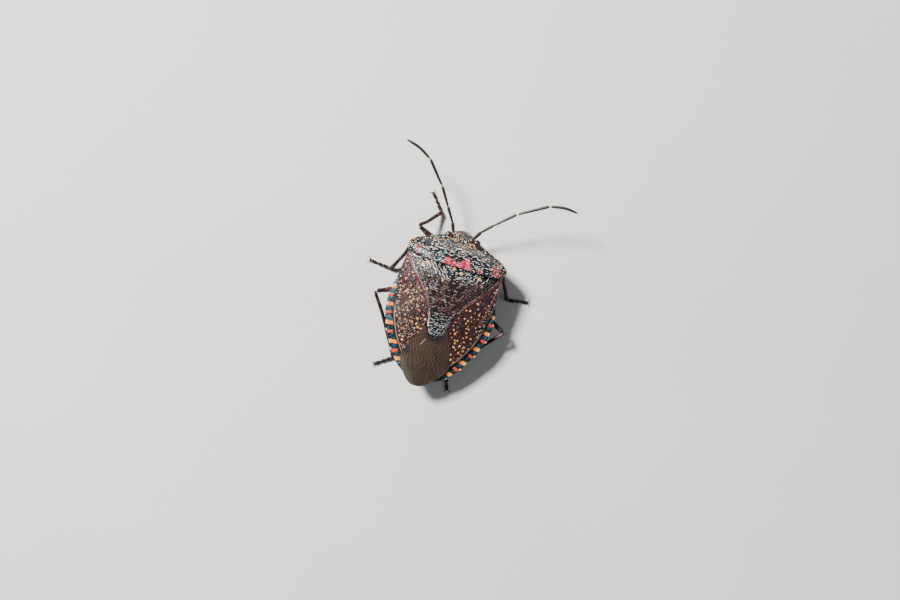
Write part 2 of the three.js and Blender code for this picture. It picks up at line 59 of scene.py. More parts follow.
# Stations along the body.
HEAD_TIP = -12.12
NECK_SIDE = -11.2
NECK_MIDDLE = -10.66
PRONOTUM_FRONT = -10.56
PRONOTUM_CORNER = -11.13
PRONOTUM_BACK = -7.6
SHOULDER_BACK = -8.2
SCUTELLUM_FRONT = -7.66
CORIUM_TIP = 2.75
WING_TIP = 5.9
ABDOMEN_FRONT = -4.72
ABDOMEN_TIP = 5.22
THORAX_FRONT = -11.0
THORAX_BACK = -4.78
SEGMENT_ENDS = np.array([-2.9, -0.9, 0.95, 2.8, 4.25])

# Height of each plate's rim, and how far its lower side lies below the surface it follows.
HEAD_RIM = 0.3
PRONOTUM_RIM, PRONOTUM_DEPTH = 0.46, 0.9
SCUTELLUM_RIM, SCUTELLUM_DEPTH = 0.38, 0.55
CORIUM_RIM, CORIUM_DEPTH = 0.24, 0.42
MEMBRANE_RIM, LEFT_MEMBRANE_DEPTH, RIGHT_MEMBRANE_DEPTH = 0.03, 0.06, 0.3

# How far the scutellum stands above the wings' surface, and the bodies below lie under the plates.
SCUTELLUM_LIFT = 0.15
THORAX_UNDER_PRONOTUM = 0.72
THORAX_UNDER_WINGS = 0.62
ABDOMEN_UNDER_WINGS = 0.42


def curve(pairs):
    """Smooth curve through (station, value) pairs, with no overshoot: a cubic on each stretch
    whose slope at a pair is the harmonic mean of the rises beside it."""
    at, value = np.array(pairs, float).T
    rise = np.diff(value) / np.diff(at)
    slope = np.zeros_like(at)
    before, after = rise[:-1], rise[1:]
    same = before * after > 0
    slope[1:-1][same] = 2 * before[same] * after[same] / (before[same] + after[same])
    slope[0], slope[-1] = rise[0], rise[-1]

    def read(where):
        """Value of the curve at each station."""
        where = np.clip(where, at[0], at[-1])
        i = np.clip(np.searchsorted(at, where, side="right") - 1, 0, len(at) - 2)
        span = at[i + 1] - at[i]
        t = (where - at[i]) / span
        r = 1 - t
        ends = value[i] * (1 + 2 * t) * r * r + value[i + 1] * t * t * (3 - 2 * t)
        return ends + span * t * r * (slope[i] * r - slope[i + 1] * t)

    return read


def mix(a, b, t):
    """Blend from a to b."""
    return a + (b - a) * t


def ease(low, high, v):
    """Smooth step from 0 at low to 1 at high."""
    t = np.clip((v - low) / (high - low), 0, 1)
    return t * t * (3 - 2 * t)


# Half-widths seen from above.
SHOULDER = 5.6
head_width = curve([
    (HEAD_TIP, 0), (-12.09, 0.3), (-12.0, 0.62), (-11.85, 0.93), (-11.6, 1.26), (-11.25, 1.5),
    (-10.9, 1.5),
])
pronotum_width = curve([
    (PRONOTUM_CORNER, 1.84), (-10.4, 3.42), (-9.7, 4.9), (-9.3, 5.36), (-8.95, SHOULDER),
    (-8.6, SHOULDER), (SHOULDER_BACK, 5.42),
])
scutellum_width = curve([
    (-7.7, 4.05), (-7.25, 3.88), (-6.4, 3.41), (-5.58, 2.9), (-4.76, 2.43), (-3.89, 1.97), (-3.0, 1.58),
    (-2.1, 1.28), (-1.4, 1.1), (-0.85, 0.97), (-0.5, 0.82), (-0.25, 0.63), (-0.08, 0.4), (0, 0),
])
wing_width = curve([
    (-7.92, 5.4), (-6.6, 5.52), (-5.5, 5.58), (-4.4, 5.46), (-3.3, 5.29), (-2.2, 5.16), (-1.1, 4.93),
    (0, 4.53), (1.1, 3.98), (2.2, 3.28), (CORIUM_TIP, 2.87), (3.96, 2.42), (4.67, 1.87), (5.33, 1.25),
    (5.7, 0.75), (5.86, 0.4), (WING_TIP, 0),
])
suture_at = curve([(-0.9, 1.2), (-0.5, 1.33), (0.33, 1.7), (1.21, 2.16), (2.42, 2.64), (CORIUM_TIP, 2.86)])
abdomen_width = curve([
    (ABDOMEN_FRONT, 5.72), (-4.2, 5.86), (-3.3, 5.98), (-2.4, 6.0), (-1.3, 5.87), (0, 5.48), (1.1, 4.96),
    (2.2, 4.36), (3.3, 3.62), (3.96, 3.0), (4.5, 2.42), (4.9, 1.6), (5.12, 0.85), (ABDOMEN_TIP, 0),
])
thorax_width = curve([
    (THORAX_FRONT, 1.6), (-10.4, 3.15), (-9.7, 4.65), (-9.3, 5.15), (-8.9, 5.4), (-7.92, 5.3), (-7.0, 5.5),
    (-6.0, 5.62), (THORAX_BACK, 5.7),
])

# Heights above the floor.
pronotum_crown = curve([
    (PRONOTUM_CORNER, 3.75), (-10.54, 4.05), (-9.9, 4.75), (-9.35, 5.3), (-8.36, 5.72),
    (PRONOTUM_BACK, 5.86),
])
pronotum_margin = curve([(PRONOTUM_CORNER, 3.3), (-9.6, 4.05), (-8.9, 4.38), (-8.22, 4.35)])
wing_crown = curve([
    (-7.9, 5.7), (-6.4, 5.83), (-3.3, 5.28), (0, 4.3), (CORIUM_TIP, 3.7), (4, 3.45), (WING_TIP, 3.05),
])
wing_margin = curve([(-7.7, 4.25), (-4, 3.95), (0, 3.6), (2.64, 3.2), (WING_TIP, 3.0)])
head_crown = curve([(HEAD_TIP, 2.5), (-11.9, 2.78), (-11.3, 3.36), (-10.72, 3.88)])
head_margin = curve([(HEAD_TIP, 2.42), (-11.6, 2.6), (NECK_SIDE, 2.85)])
belly = curve([
    (HEAD_TIP, 2.1), (-11.6, 1.98), (-9.9, 1.9), (-7.26, 1.5), (-5.5, 1.35), (-4.2, 1.1), (-2, 0.8),
    (1, 0.8), (3, 1.1), (4.5, 1.45), (ABDOMEN_TIP, 1.95),
])


def arch(across):
    """Cross-section of a plate: 1 on the midline, falling with a power just over two to 0."""
    return 1 - np.minimum(1, np.abs(across)) ** 2.1


def wing_top(x, y):
    """Height of the closed wings: the arch between the margin's height and the crown's."""
    return mix(wing_margin(y), wing_crown(y), arch(x / np.maximum(0.5, wing_width(y))))


def below_wings(depth):
    """Function of a place: the wings' surface less a depth."""
    return lambda x, y: wing_top(x, y) - depth


# Patterns, each a function of arrays of places.


def chance(i, j, seed):
    """Repeatable number from 0 to 1 for each whole-numbered pair, by integer mixing."""
    h = (i.astype(np.int64) * 374761393 + j.astype(np.int64) * 668265263 + seed * 974634777) & 0xFFFFFFFF
    h = ((h ^ (h >> 13)) * 1274126177) & 0xFFFFFFFF
    h = ((h ^ (h >> 16)) * 2246822519) & 0xFFFFFFFF
    return (h ^ (h >> 15)).astype(float) / 4294967295.0


def clouds(x, y, size, seed):
    """Smooth noise from 0 to 1: chances at the corners of squares, eased between them."""
    x, y = x / size, y / size
    i, j = np.floor(x), np.floor(y)
    a, b = ease(0, 1, x - i), ease(0, 1, y - j)
    low = mix(chance(i, j, seed), chance(i + 1, j, seed), a)
    high = mix(chance(i, j + 1, seed), chance(i + 1, j + 1, seed), a)
    return mix(low, high, b)


def drift(x, y, size, seed):
    """The clouds about their middle, from -0.5 to 0.5."""
    return clouds(x, y, size, seed) - 0.5


def patches(low, high, x, y, size, seed):
    """The clouds eased between two of their values, so that they part into patches."""
    return ease(low, high, clouds(x, y, size, seed))


def marks(x, y, pitch, size, turn, seed, share, spread=0.5, stretch=(1.0, 1.0), loose=0.62):
    """Scattered oval marks, one in each cell of a grid of that pitch, stretched along x and y,
    with every other row half a cell along. size is the shortest and longest half-length and the
    ratio of width to length, turn the direction of the long side with a random swing of spread,
    share how many of the cells have a mark, and loose how much of the cell the mark's place can
    stray over. Gives the closeness to the nearest mark, 1 at its middle and 0 at its edge and
    beyond, and that mark's chance number."""
    wide, deep = pitch * stretch[0], pitch * stretch[1]
    i0, j0 = np.floor(x / wide), np.floor(y / deep)
    best = np.zeros_like(x)
    number = np.zeros_like(x)
    for di in (-1, 0, 1):
        for dj in (-1, 0, 1):
            i, j = i0 + di, j0 + dj
            dx = x - (i + 0.5 + loose * (chance(i, j, seed) - 0.5) + 0.5 * (j % 2)) * wide
            dy = y - (j + 0.5 + loose * (chance(i, j, seed + 1) - 0.5)) * deep
            angle = turn + (chance(i, j, seed + 2) - 0.5) * 2 * spread
            along = dx * np.cos(angle) + dy * np.sin(angle)
            side = dy * np.cos(angle) - dx * np.sin(angle)
            long = mix(size[0], size[1], chance(i, j, seed + 3))
            near = 1 - np.sqrt((along / long) ** 2 + (side / (long * size[2])) ** 2)
            near = np.where(chance(i, j, seed + 4) < share, near, 0)
            closer = near > best
            best = np.where(closer, near, best)
            number = np.where(closer, chance(i, j, seed + 5), number)
    return np.clip(best, 0, 1), number


def pits(x, y, pitch, radii, seed, turn=0.0, share=0.9):
    """Small round pits as a mask from 0 to 1, and each pit's chance number."""
    near, number = marks(x, y, pitch, (*radii, 0.9), turn, seed, share)
    return ease(0.1, 0.5, near), number


def blots(x, y, pitch, radii, seed, share):
    """Round marks with uneven edges as a mask from 0 to 1, and each mark's chance number."""
    near, number = marks(x, y, pitch, (*radii, 0.8), 0.6, seed, share, 1.5)
    return ease(0.06, 0.3, near + 0.8 * drift(x, y, 0.085, seed + 7) * (near > 0)), number


def wrinkles(x, y, turn, seed, share, size):
    """Short raised dashes that wander: long oval marks on places that a noise pushes about.
    Gives 0 to 1."""
    px = x + 0.2 * size * drift(x, y, 0.34 * size, seed + 7)
    py = y + 0.2 * size * drift(x, y, 0.30 * size, seed + 9)
    dash = (0.14 * size, 0.29 * size, 0.21)
    near, _ = marks(px, py, 0.3 * size, dash, turn, seed, share, 0.42, (1.32, 0.80), 0.5)
    return ease(0.08, 0.42, near)


def relief(x, y, turn, seed, share, dots, size=1.0):
    """Raised wrinkles in the direction turn that give way to round marks where dots is 1, with
    pits between them. Gives the masks raised, pit and glint, the height and the marks' chance."""
    lines = wrinkles(x, y, turn, seed, share, size)
    near, number = marks(x, y, 0.29, (0.07, 0.15, 0.58), turn, seed + 5, 0.85, 1.0, (1.1, 0.9))
    round_marks = ease(0.10, 0.42, near + 0.5 * drift(x, y, 0.09, seed + 6) * (near > 0))
    raised = mix(lines, round_marks, dots)
    pit, chosen = pits(x, y, 0.19, (0.07, 0.1), seed + 20)
    pit = pit * (1 - ease(0.05, 0.35, raised))
    glint = pit * ease(0.50, 0.54, chosen)
    height = 0.06 * raised - 0.05 * pit + 0.02 * drift(x, y, 0.13, seed + 60)
    return raised, pit, glint, height, number


def from_line(x, y, points):
    """Distance from each place to a broken line, and the share of the way along it."""
    points = np.array(points, float)
    lengths = np.hypot(*np.diff(points, axis=0).T)
    total = lengths.sum()
    best = np.full_like(x, 1e9)
    way = np.zeros_like(x)
    done = 0.0
    for (ax, ay), (bx, by), long in zip(points[:-1], points[1:], lengths):
        t = np.clip(((x - ax) * (bx - ax) + (y - ay) * (by - ay)) / long**2, 0, 1)
        d = np.hypot(x - ax - t * (bx - ax), y - ay - t * (by - ay))
        way = np.where(d < best, (done + t * long) / total, way)
        best = np.minimum(best, d)
        done += long
    return best, way


def line_at(y, points):
    """Distance from the midline of a broken line along the body, at each station."""
    return np.interp(y, [p[1] for p in points], [p[0] for p in points])


def oval(x, y, middle, radii):
    """0 at the middle of an upright oval and 1 on its edge."""
    return np.hypot((x - middle[0]) / radii[0], (y - middle[1]) / radii[1])


def nearest(station, places):
    """Distance along the body to the nearest of some stations."""
    return np.abs(station[..., None] - places).min(-1)


# Meshes.


def mesh_piece(name, points, faces, slot, masks=None, stands_for_node=True):
    """A finished object from points in millimetres, faces of three or four corners, and masks
    of one number for each point, in the slot's finish."""
    mesh = bpy.data.meshes.new(name)
    places = np.asarray(points, float) * MM + TIP
    mesh.from_pydata(places.tolist(), [], faces)
    mesh.validate()
    mesh.polygons.foreach_set("use_smooth", np.ones(len(mesh.polygons), bool))
    for key, values in (masks or {}).items():
        layer = mesh.attributes.new(key, "FLOAT", "POINT")
        layer.data.foreach_set("value", np.asarray(values, np.float32).ravel())
    mesh.materials.append(FINISHES[slot])
    piece = bpy.data.objects.new(name + "_skin", mesh)
    bpy.context.scene.collection.objects.link(piece)
    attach(piece, "root")
    if stands_for_node:
        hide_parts(name)


def across_grid(rows, columns, low=-1.0, high=1.0):
    """Shares along and across a plate, as two arrays."""
    return np.meshgrid(np.linspace(0, 1, rows), np.linspace(low, high, columns), indexing="ij")


def grid_faces(rows, columns, closed=False):
    """Four-cornered faces of a grid of points. closed joins the last column to the first."""
    i = np.arange(rows - 1)[:, None]
    j = np.arange(columns if closed else columns - 1)[None, :]
    k = (j + 1) % columns
    corners = (i * columns + j, i * columns + k, (i + 1) * columns + k, (i + 1) * columns + j)
    return np.stack(np.broadcast_arrays(*corners), -1).reshape(-1, 4).tolist()


def edge_loop(rows, columns):
    """Numbers of the points round the edge of a grid, in order."""
    top = np.arange(columns)
    right = np.arange(1, rows) * columns + columns - 1
    bottom = (rows - 1) * columns + np.arange(columns - 2, -1, -1)
    left = np.arange(rows - 2, 0, -1) * columns
    return np.concatenate([top, right, bottom, left])


def shell(name, slot, surface, edge, under, middle, masks):
    """Closed plate: the given upper surface, a rim of height edge that is half an oval, and a
    plain lower surface under(x, y) of rings that shrink towards the middle. A ring's point is
    the edge point moved towards the middle by a share."""
    rows, columns = surface[0].shape
    top = np.stack(surface, -1).reshape(-1, 3)
    loop = edge_loop(rows, columns)
    ring = top[loop]
    keep = np.hypot(*(ring - np.roll(ring, 1, axis=0))[:, :2].T) > 1e-5
    loop, ring = loop[keep], ring[keep]
    onward = np.roll(ring, -1, axis=0)
    along = onward - np.roll(ring, 1, axis=0)
    out = np.stack([along[:, 1], -along[:, 0]], -1)
    area = np.sum(ring[:, 0] * onward[:, 1] - onward[:, 0] * ring[:, 1])
    out *= np.sign(area) / np.maximum(1e-9, np.linalg.norm(out, axis=1))[:, None]
    middle = np.array(middle, float)

    levels = []
    for angle in math.pi * np.array([0.25, 0.5, 0.75, 1.0]):
        level = ring.copy()
        level[:, :2] += out * (0.1 * edge * math.sin(angle))
        level[:, 2] -= edge / 2 * (1 - math.cos(angle))
        levels.append(level)
    for share in (0.85, 0.6, 0.3):
        level = ring.copy()
        level[:, :2] = middle + (ring[:, :2] - middle) * share
        level[:, 2] = np.minimum(under(level[:, 0], level[:, 1]), level[:, 2] - 0.02)
        levels.append(level)
    bottom = [[*middle, under(middle[:1], middle[1:])[0]]]
    points = np.concatenate([top, *levels, bottom])

    count = len(ring)
    rings = [loop] + [len(top) + k * count + np.arange(count) for k in range(len(levels))]
    rim = []
    for a, b in zip(rings[:-1], rings[1:]):
        rim += np.stack([a, b, np.roll(b, -1), np.roll(a, -1)], -1).tolist()
    last = rings[-1]
    rim += np.stack([last, np.full_like(last, len(points) - 1), np.roll(last, -1)], -1).tolist()

    full = {}
    for key, values in masks.items():
        values = np.asarray(values, float).ravel()
        full[key] = np.concatenate([values, np.tile(values[loop], len(levels)), [0.0]])
    mesh_piece(name, points, face_up(points, grid_faces(rows, columns), rim), slot, full)


def face_up(points, faces, rim):
    """The two lists of faces as one, each turned so that the upper surface looks up and the rim
    goes on from it: faces side by side run along their common edge in opposite directions."""
    a, b, c = (points[corner] for corner in faces[len(faces) // 2][:3])
    if np.cross(b - a, c - a)[2] < 0:
        faces = [f[::-1] for f in faces]
    edges = {edge for f in faces for edge in zip(f, f[1:] + f[:1])}
    if any(edge in edges for edge in zip(rim[0], rim[0][1:] + rim[0][:1])):
        rim = [f[::-1] for f in rim]
    return faces + rim


def outwards(points, faces):
    """The faces, all turned round if the closed body they make is inside out."""
    tri = np.array([[f[0], f[k], f[k + 1]] for f in faces for k in range(1, len(f) - 1)])
    a, b, c = points[tri[:, 0]], points[tri[:, 1]], points[tri[:, 2]]
    if np.sum(a * np.cross(b, c)) < 0:
        return [f[::-1] for f in faces]
    return faces


def closed_rings(rings, first_pole, last_pole):
    """Points and faces of a closed body: rings joined one to the next, as an array of rows of
    points, and a pole at each end."""
    rows, columns = rings.shape[:2]
    count = rows * columns
    points = np.concatenate([rings.reshape(-1, 3), [first_pole, last_pole]])
    j = np.arange(columns)
    k = (j + 1) % columns
    final = count - columns
    faces = grid_faces(rows, columns, closed=True)
    faces += np.stack([np.full(columns, count), k, j], -1).tolist()
    faces += np.stack([np.full(columns, count + 1), final + j, final + k], -1).tolist()
    return points, outwards(points, faces)


def with_poles(masks):
    """Masks of a body of closed rings, with 0 at its two poles."""
    return {key: np.append(values, (0, 0)) for key, values in masks.items()}


def tube(path, radii, sides, flat=1.0):
    """Points and faces of a limb: rings of a radius for each point of a path, closed at both
    ends by a point and kept above the floor. flat squeezes them up and down."""
    path = np.asarray(path, float)
    along = np.gradient(path, axis=0)
    along /= np.linalg.norm(along, axis=1)[:, None]
    side = np.cross(along, (0.0, 0.0, 1.0))
    side /= np.linalg.norm(side, axis=1)[:, None]
    above = np.cross(side, along)
    angle = (np.arange(sides) / sides * TAU)[None, :, None]
    ring = side[:, None, :] * np.cos(angle) + above[:, None, :] * (flat * np.sin(angle))
    points, faces = closed_rings(path[:, None, :] + ring * radii[:, None, None], path[0], path[-1])
    points[:, 2] = np.maximum(points[:, 2], 0)
    return points, faces


def ball(centre, radii, rows=32, columns=40):
    """Points and faces of an egg with its poles up and down."""
    down = np.linspace(0, math.pi, rows)[1:-1, None]
    way = np.linspace(0, TAU, columns, endpoint=False)[None, :]
    x = np.sin(down) * np.cos(way) * radii[0]
    y = np.sin(down) * np.sin(way) * radii[1]
    z = np.cos(down) * radii[2] + 0 * way
    centre = np.array(centre)
    pole = np.array([0, 0, radii[2]])
    return closed_rings(np.stack([x, y, z], -1) + centre, centre + pole, centre - pole)


def joined(parts):
    """Several closed bodies as one list of points and one of faces."""
    points, faces, count = [], [], 0
    for some_points, some_faces in parts:
        points.append(some_points)
        faces += [[corner + count for corner in face] for face in some_faces]
        count += len(some_points)
    return np.concatenate(points), faces


def smooth_path(corners, steps):
    """Points along a smooth path through corners, evenly spaced: a cubic between each two, whose
    direction at a corner is that of its neighbours."""
    corners = np.asarray(corners, float)
    ends = np.concatenate([[2 * corners[0] - corners[1]], corners, [2 * corners[-1] - corners[-2]]])
    t = np.linspace(0, 1, steps, endpoint=False)[:, None]
    out = []
    for i in range(len(corners) - 1):
        p0, p1, p2, p3 = ends[i : i + 4]
        bend = 2 * p0 - 5 * p1 + 4 * p2 - p3
        twist = 3 * p1 - p0 - 3 * p2 + p3
        out.append(0.5 * (2 * p1 + (p2 - p0) * t + bend * t**2 + twist * t**3))
    path = np.concatenate([*out, corners[-1:]])
    length = np.concatenate([[0], np.cumsum(np.linalg.norm(np.diff(path, axis=0), axis=1))])
    even = np.linspace(0, length[-1], len(path))
    return np.stack([np.interp(even, length, path[:, k]) for k in range(3)], -1)


# Materials.


def material(name, **constants):
    """A new material with its plain constants on the shader's sockets. Gives the material, its
    node tree and the shader."""
    made = bpy.data.materials.new(name)
    made.use_nodes = True
    shader = made.node_tree.nodes["Principled BSDF"]
    for key, value in constants.items():
        shader.inputs[key.replace("_", " ")].default_value = value
    return made, made.node_tree, shader


def add(tree, kind, **settings):
    """A new node with its settings, where "inputs" gives values by socket name or number."""
    node = tree.nodes.new(kind)
    for socket, value in settings.pop("inputs", {}).items():
        node.inputs[socket].default_value = value
    for key, value in settings.items():
        setattr(node, key, value)
    return node


def blend_colour(tree, share, a, b):
    """Colour a turned to colour b by a share. The colours can be sockets."""
    node = add(tree, "ShaderNodeMix", data_type="RGBA")
    tree.links.new(share, node.inputs[0])
    for socket, value in ((6, a), (7, b)):
        if isinstance(value, bpy.types.NodeSocket):
            tree.links.new(value, node.inputs[socket])
        else:
            node.inputs[socket].default_value = (*value, 1)
    return node.outputs[2]


def reading(tree, key):
    """Socket of a mask that the mesh carries."""
    return add(tree, "ShaderNodeAttribute", attribute_name=key).outputs["Fac"]


def layered(tree, colour, **layers):
    """A colour with others over it in turn, each where the mask of its name is 1."""
    for key, over in layers.items():
        colour = blend_colour(tree, reading(tree, key), colour, over)
    return colour


def scale_range(tree, value, low, high, to_low=0.0, to_high=1.0):
    """Socket that carries value from low..high to to_low..to_high, and no further."""
    node = add(tree, "ShaderNodeMapRange", inputs={1: low, 2: high, 3: to_low, 4: to_high})
    tree.links.new(value, node.inputs[0])
    return node.outputs[0]


def metal_where(tree, shader, key, full, most):
    """Metallic from 0 to most as a mask goes from 0 to full."""
    share = scale_range(tree, reading(tree, key), 0.0, full, 0.0, most)
    tree.links.new(share, shader.inputs["Metallic"])


def fine_grain():
    """Group: fine surface of cuticle on object coordinates. Gives a value that wanders slowly,
    a fine grain value, and a normal from the grain."""
    group = bpy.data.node_groups.new("cuticle grain", "ShaderNodeTree")
    for key, value in (("Patch Scale", 1500.0), ("Grain Scale", 12000.0), ("Strength", 0.2)):
        socket = group.interface.new_socket(key, in_out="INPUT", socket_type="NodeSocketFloat")
        socket.default_value = value
    for key, kind in (("Patch", "Float"), ("Grain", "Float"), ("Normal", "Vector")):
        group.interface.new_socket(key, in_out="OUTPUT", socket_type="NodeSocket" + kind)
    inside = group.nodes.new("NodeGroupInput")
    outside = group.nodes.new("NodeGroupOutput")
    place = add(group, "ShaderNodeTexCoord")
    patch = add(group, "ShaderNodeTexNoise", inputs={"Detail": 3.0, "Roughness": 0.6})
    grain = add(group, "ShaderNodeTexNoise", inputs={"Detail": 2.0})
    for noise, key, out in ((patch, "Patch Scale", "Patch"), (grain, "Grain Scale", "Grain")):
        group.links.new(place.outputs["Object"], noise.inputs["Vector"])
        group.links.new(inside.outputs[key], noise.inputs["Scale"])
        group.links.new(noise.outputs["Fac"], outside.inputs[out])
    bump = add(group, "ShaderNodeBump", inputs={"Distance": 0.00002})
    group.links.new(grain.outputs["Fac"], bump.inputs["Height"])
    group.links.new(inside.outputs["Strength"], bump.inputs["Strength"])
    group.links.new(bump.outputs["Normal"], outside.inputs["Normal"])
    return group


GRAIN = fine_grain()


def cuticle(name, scales, patch_range, rough_range, **constants):
    """A new material with the cuticle grain in it. scales gives the group's patch scale, grain
    scale and strength, patch_range the patch values that stand for 0 and 1, and rough_range the
    roughness at the ends of the grain. Gives the material, its tree, its shader and the patch."""
    made, tree, shader = material(name, **constants)
    node = add(tree, "ShaderNodeGroup", node_tree=GRAIN)
    for key, value in zip(("Patch Scale", "Grain Scale", "Strength"), scales):
        node.inputs[key].default_value = value
    tree.links.new(node.outputs["Normal"], shader.inputs["Normal"])
    rough = scale_range(tree, node.outputs["Grain"], 0.3, 0.7, *rough_range)
    tree.links.new(rough, shader.inputs["Roughness"])
    return made, tree, shader, scale_range(tree, node.outputs["Patch"], *patch_range)


def pitted_shell():
    """Black cuticle with cream to orange raised marks, teal glints in its pits, brown and rose
    patches, from the masks raised, warm, pit, glint, brown and rose."""
    made, tree, shader, patch = cuticle(
        "pitted shell", (1400.0, 14000.0, 0.35), (0.36, 0.62), (0.17, 0.31),
        IOR=1.4, Coat_Weight=0.3, Coat_Roughness=0.07,
    )
    ground = blend_colour(tree, patch, (0.002, 0.002, 0.003), (0.009, 0.005, 0.006))
    ground = layered(tree, ground, brown=(0.017, 0.0038, 0.0045), rose=(0.36, 0.024, 0.050))
    mark = layered(
        tree, (0.92, 0.87, 0.86), warm=(0.88, 0.40, 0.08), brown=(0.42, 0.25, 0.21), rose=(0.95, 0.56, 0.56)
    )
    colour = layered(tree, ground, raised=mark, pit=(0.004, 0.004, 0.006), glint=(0.030, 0.190, 0.210))
    tree.links.new(colour, shader.inputs["Base Color"])
    metal_where(tree, shader, "glint", 0.6, 0.9)
    return made


def leathery_wing():
    """Maroon to black leathery wing with cream to orange dots, dull red veins, black pits, a dark outer
    strip, and pale stripes and painted highlights on its ripples and specks, from the masks dot, warm,
    vein, pit, dark and pale."""
    made, tree, shader, patch = cuticle(
        "leathery wing", (1800.0, 13000.0, 0.35), (0.35, 0.65), (0.19, 0.33),
        IOR=1.4, Coat_Weight=0.12, Coat_Roughness=0.06,
    )
    ground = blend_colour(tree, patch, (0.009, 0.0025, 0.0030), (0.034, 0.0070, 0.0064))
    # pale: the wing's pale stripes, and painted highlights on its ripples and specks.
    ground = layered(
        tree, ground, dark=(0.003, 0.003, 0.004), pale=(0.36, 0.27, 0.24), pit=(0.005, 0.003, 0.004),
        vein=(0.13, 0.009, 0.014),
    )
    dot = layered(tree, (0.74, 0.43, 0.33), warm=(0.76, 0.28, 0.06))
    tree.links.new(layered(tree, ground, dot=dot), shader.inputs["Base Color"])
    return made


def smoky_membrane():
    """Smoky brown film with lighter veins, a painted highlight along the left one's fold, painted shade at
    its base and beside the corium, and a clearer olive border, from the masks vein, dark and clear."""
    made, tree, shader, patch = cuticle(
        "smoky membrane", (900.0, 11000.0, 0.2), (0.3, 0.7), (0.36, 0.52),
        IOR=1.4, Coat_Weight=0.05, Coat_Roughness=0.3,
    )
    colour = blend_colour(tree, patch, (0.017, 0.0108, 0.0070), (0.031, 0.0205, 0.0130))
    # dark is painted shade: the shadow under the scutellum's tip and beside the corium's edges. vein also
    # paints a highlight along the fold.
    colour = layered(
        tree, colour, clear=(0.041, 0.037, 0.025), vein=(0.150, 0.088, 0.066), dark=(0.006, 0.007, 0.009)
    )
    tree.links.new(colour, shader.inputs["Base Color"])
    return made


def banded_abdomen():
    """Black cuticle with metallic teal and blue, and orange and red cross bands with pale ends,
    from the masks teal, orange, red, pale, pit and under."""
    made, tree, shader, patch = cuticle(
        "banded abdomen", (2200.0, 12000.0, 0.3), (0.4, 0.62), (0.24, 0.42),
        IOR=1.4, Coat_Weight=0.2, Coat_Roughness=0.1,
    )
    teal = blend_colour(tree, patch, (0.007, 0.055, 0.072), (0.060, 0.240, 0.340))
    colour = layered(
        tree, (0.003, 0.006, 0.008), teal=teal, under=(0.016, 0.013, 0.014), pit=(0.003, 0.004, 0.006),
        orange=(0.80, 0.195, 0.008), red=(0.60, 0.045, 0.012), pale=(0.78, 0.56, 0.32),
    )
    tree.links.new(colour, shader.inputs["Base Color"])
    metal_where(tree, shader, "teal", 0.7, 0.85)
    return made


def dark_underside():
    """Glossy blackish brown cuticle with a faint brown mottle, and a metallic edge from the
    mask teal."""
    made, tree, shader, patch = cuticle(
        "dark underside", (1600.0, 9000.0, 0.4), (0.35, 0.7), (0.26, 0.45),
        IOR=1.4, Coat_Weight=0.15, Coat_Roughness=0.2,
    )
    colour = blend_colour(tree, patch, (0.012, 0.011, 0.013), (0.050, 0.030, 0.022))
    colour = layered(tree, colour, teal=(0.030, 0.150, 0.210))
    tree.links.new(colour, shader.inputs["Base Color"])
    metal_where(tree, shader, "teal", 0.7, 0.85)
    return made


def streaked_leg():
    """Glossy black limb with reddish brown streaks, from the mask streak."""
    made, tree, shader, patch = cuticle(
        "streaked leg", (2500.0, 15000.0, 0.6), (0.42, 0.6), (0.34, 0.56),
        IOR=1.36, Coat_Weight=0.06, Coat_Roughness=0.25,
    )
    brown = blend_colour(tree, patch, (0.030, 0.012, 0.010), (0.100, 0.032, 0.025))
    tree.links.new(layered(tree, (0.008, 0.007, 0.008), streak=brown), shader.inputs["Base Color"])
    return made


def ringed_antenna():
    """Satin black antenna with pale rings, from the mask ring."""
    made, tree, shader, patch = cuticle(
        "ringed antenna", (2500.0, 16000.0, 0.5), (0.35, 0.65), (0.38, 0.55),
        IOR=1.5, Coat_Weight=0.1, Coat_Roughness=0.3,
    )
    black = blend_colour(tree, patch, (0.007, 0.007, 0.008), (0.018, 0.016, 0.016))
    tree.links.new(layered(tree, black, ring=(0.50, 0.44, 0.36)), shader.inputs["Base Color"])
    return made


def faceted_eye():
    """Dark red-brown eye with fine facets: cells on object coordinates, darker and rougher
    towards their edges, with a bump."""
    made, tree, shader = material("faceted eye", IOR=1.5, Coat_Weight=0.8, Coat_Roughness=0.08)
    place = add(tree, "ShaderNodeTexCoord")
    facets = add(tree, "ShaderNodeTexVoronoi", inputs={"Scale": 28000.0})
    tree.links.new(place.outputs["Object"], facets.inputs["Vector"])
    from_middle = facets.outputs["Distance"]
    bump = add(tree, "ShaderNodeBump", inputs={"Strength": 0.5, "Distance": 0.00001})
    tree.links.new(from_middle, bump.inputs["Height"])
    tree.links.new(bump.outputs["Normal"], shader.inputs["Normal"])
    dark = scale_range(tree, from_middle, 0.1, 0.6)
    colour = blend_colour(tree, dark, (0.060, 0.016, 0.012), (0.012, 0.006, 0.006))
    tree.links.new(colour, shader.inputs["Base Color"])
    rough = scale_range(tree, from_middle, 0.1, 0.6, 0.2, 0.35)
    tree.links.new(rough, shader.inputs["Roughness"])
    return made


FINISHES = {
    "shell": pitted_shell(),
    "corium": leathery_wing(),
    "membrane": smoky_membrane(),
    "abdomen": banded_abdomen(),
    "underside": dark_underside(),
    "limb": streaked_leg(),
    "antenna": ringed_antenna(),
    "eye": faceted_eye(),
}

# Front edge of the rose middle of the pronotum.
ROSE_EDGE = [
    (-1.75, -7.68), (-1.34, -8.5), (-0.94, -8.97), (-0.52, -8.6), (-0.15, -8.07), (0.55, -8.25),
    (1.01, -8.42), (1.42, -8.18), (1.68, -7.7),
]


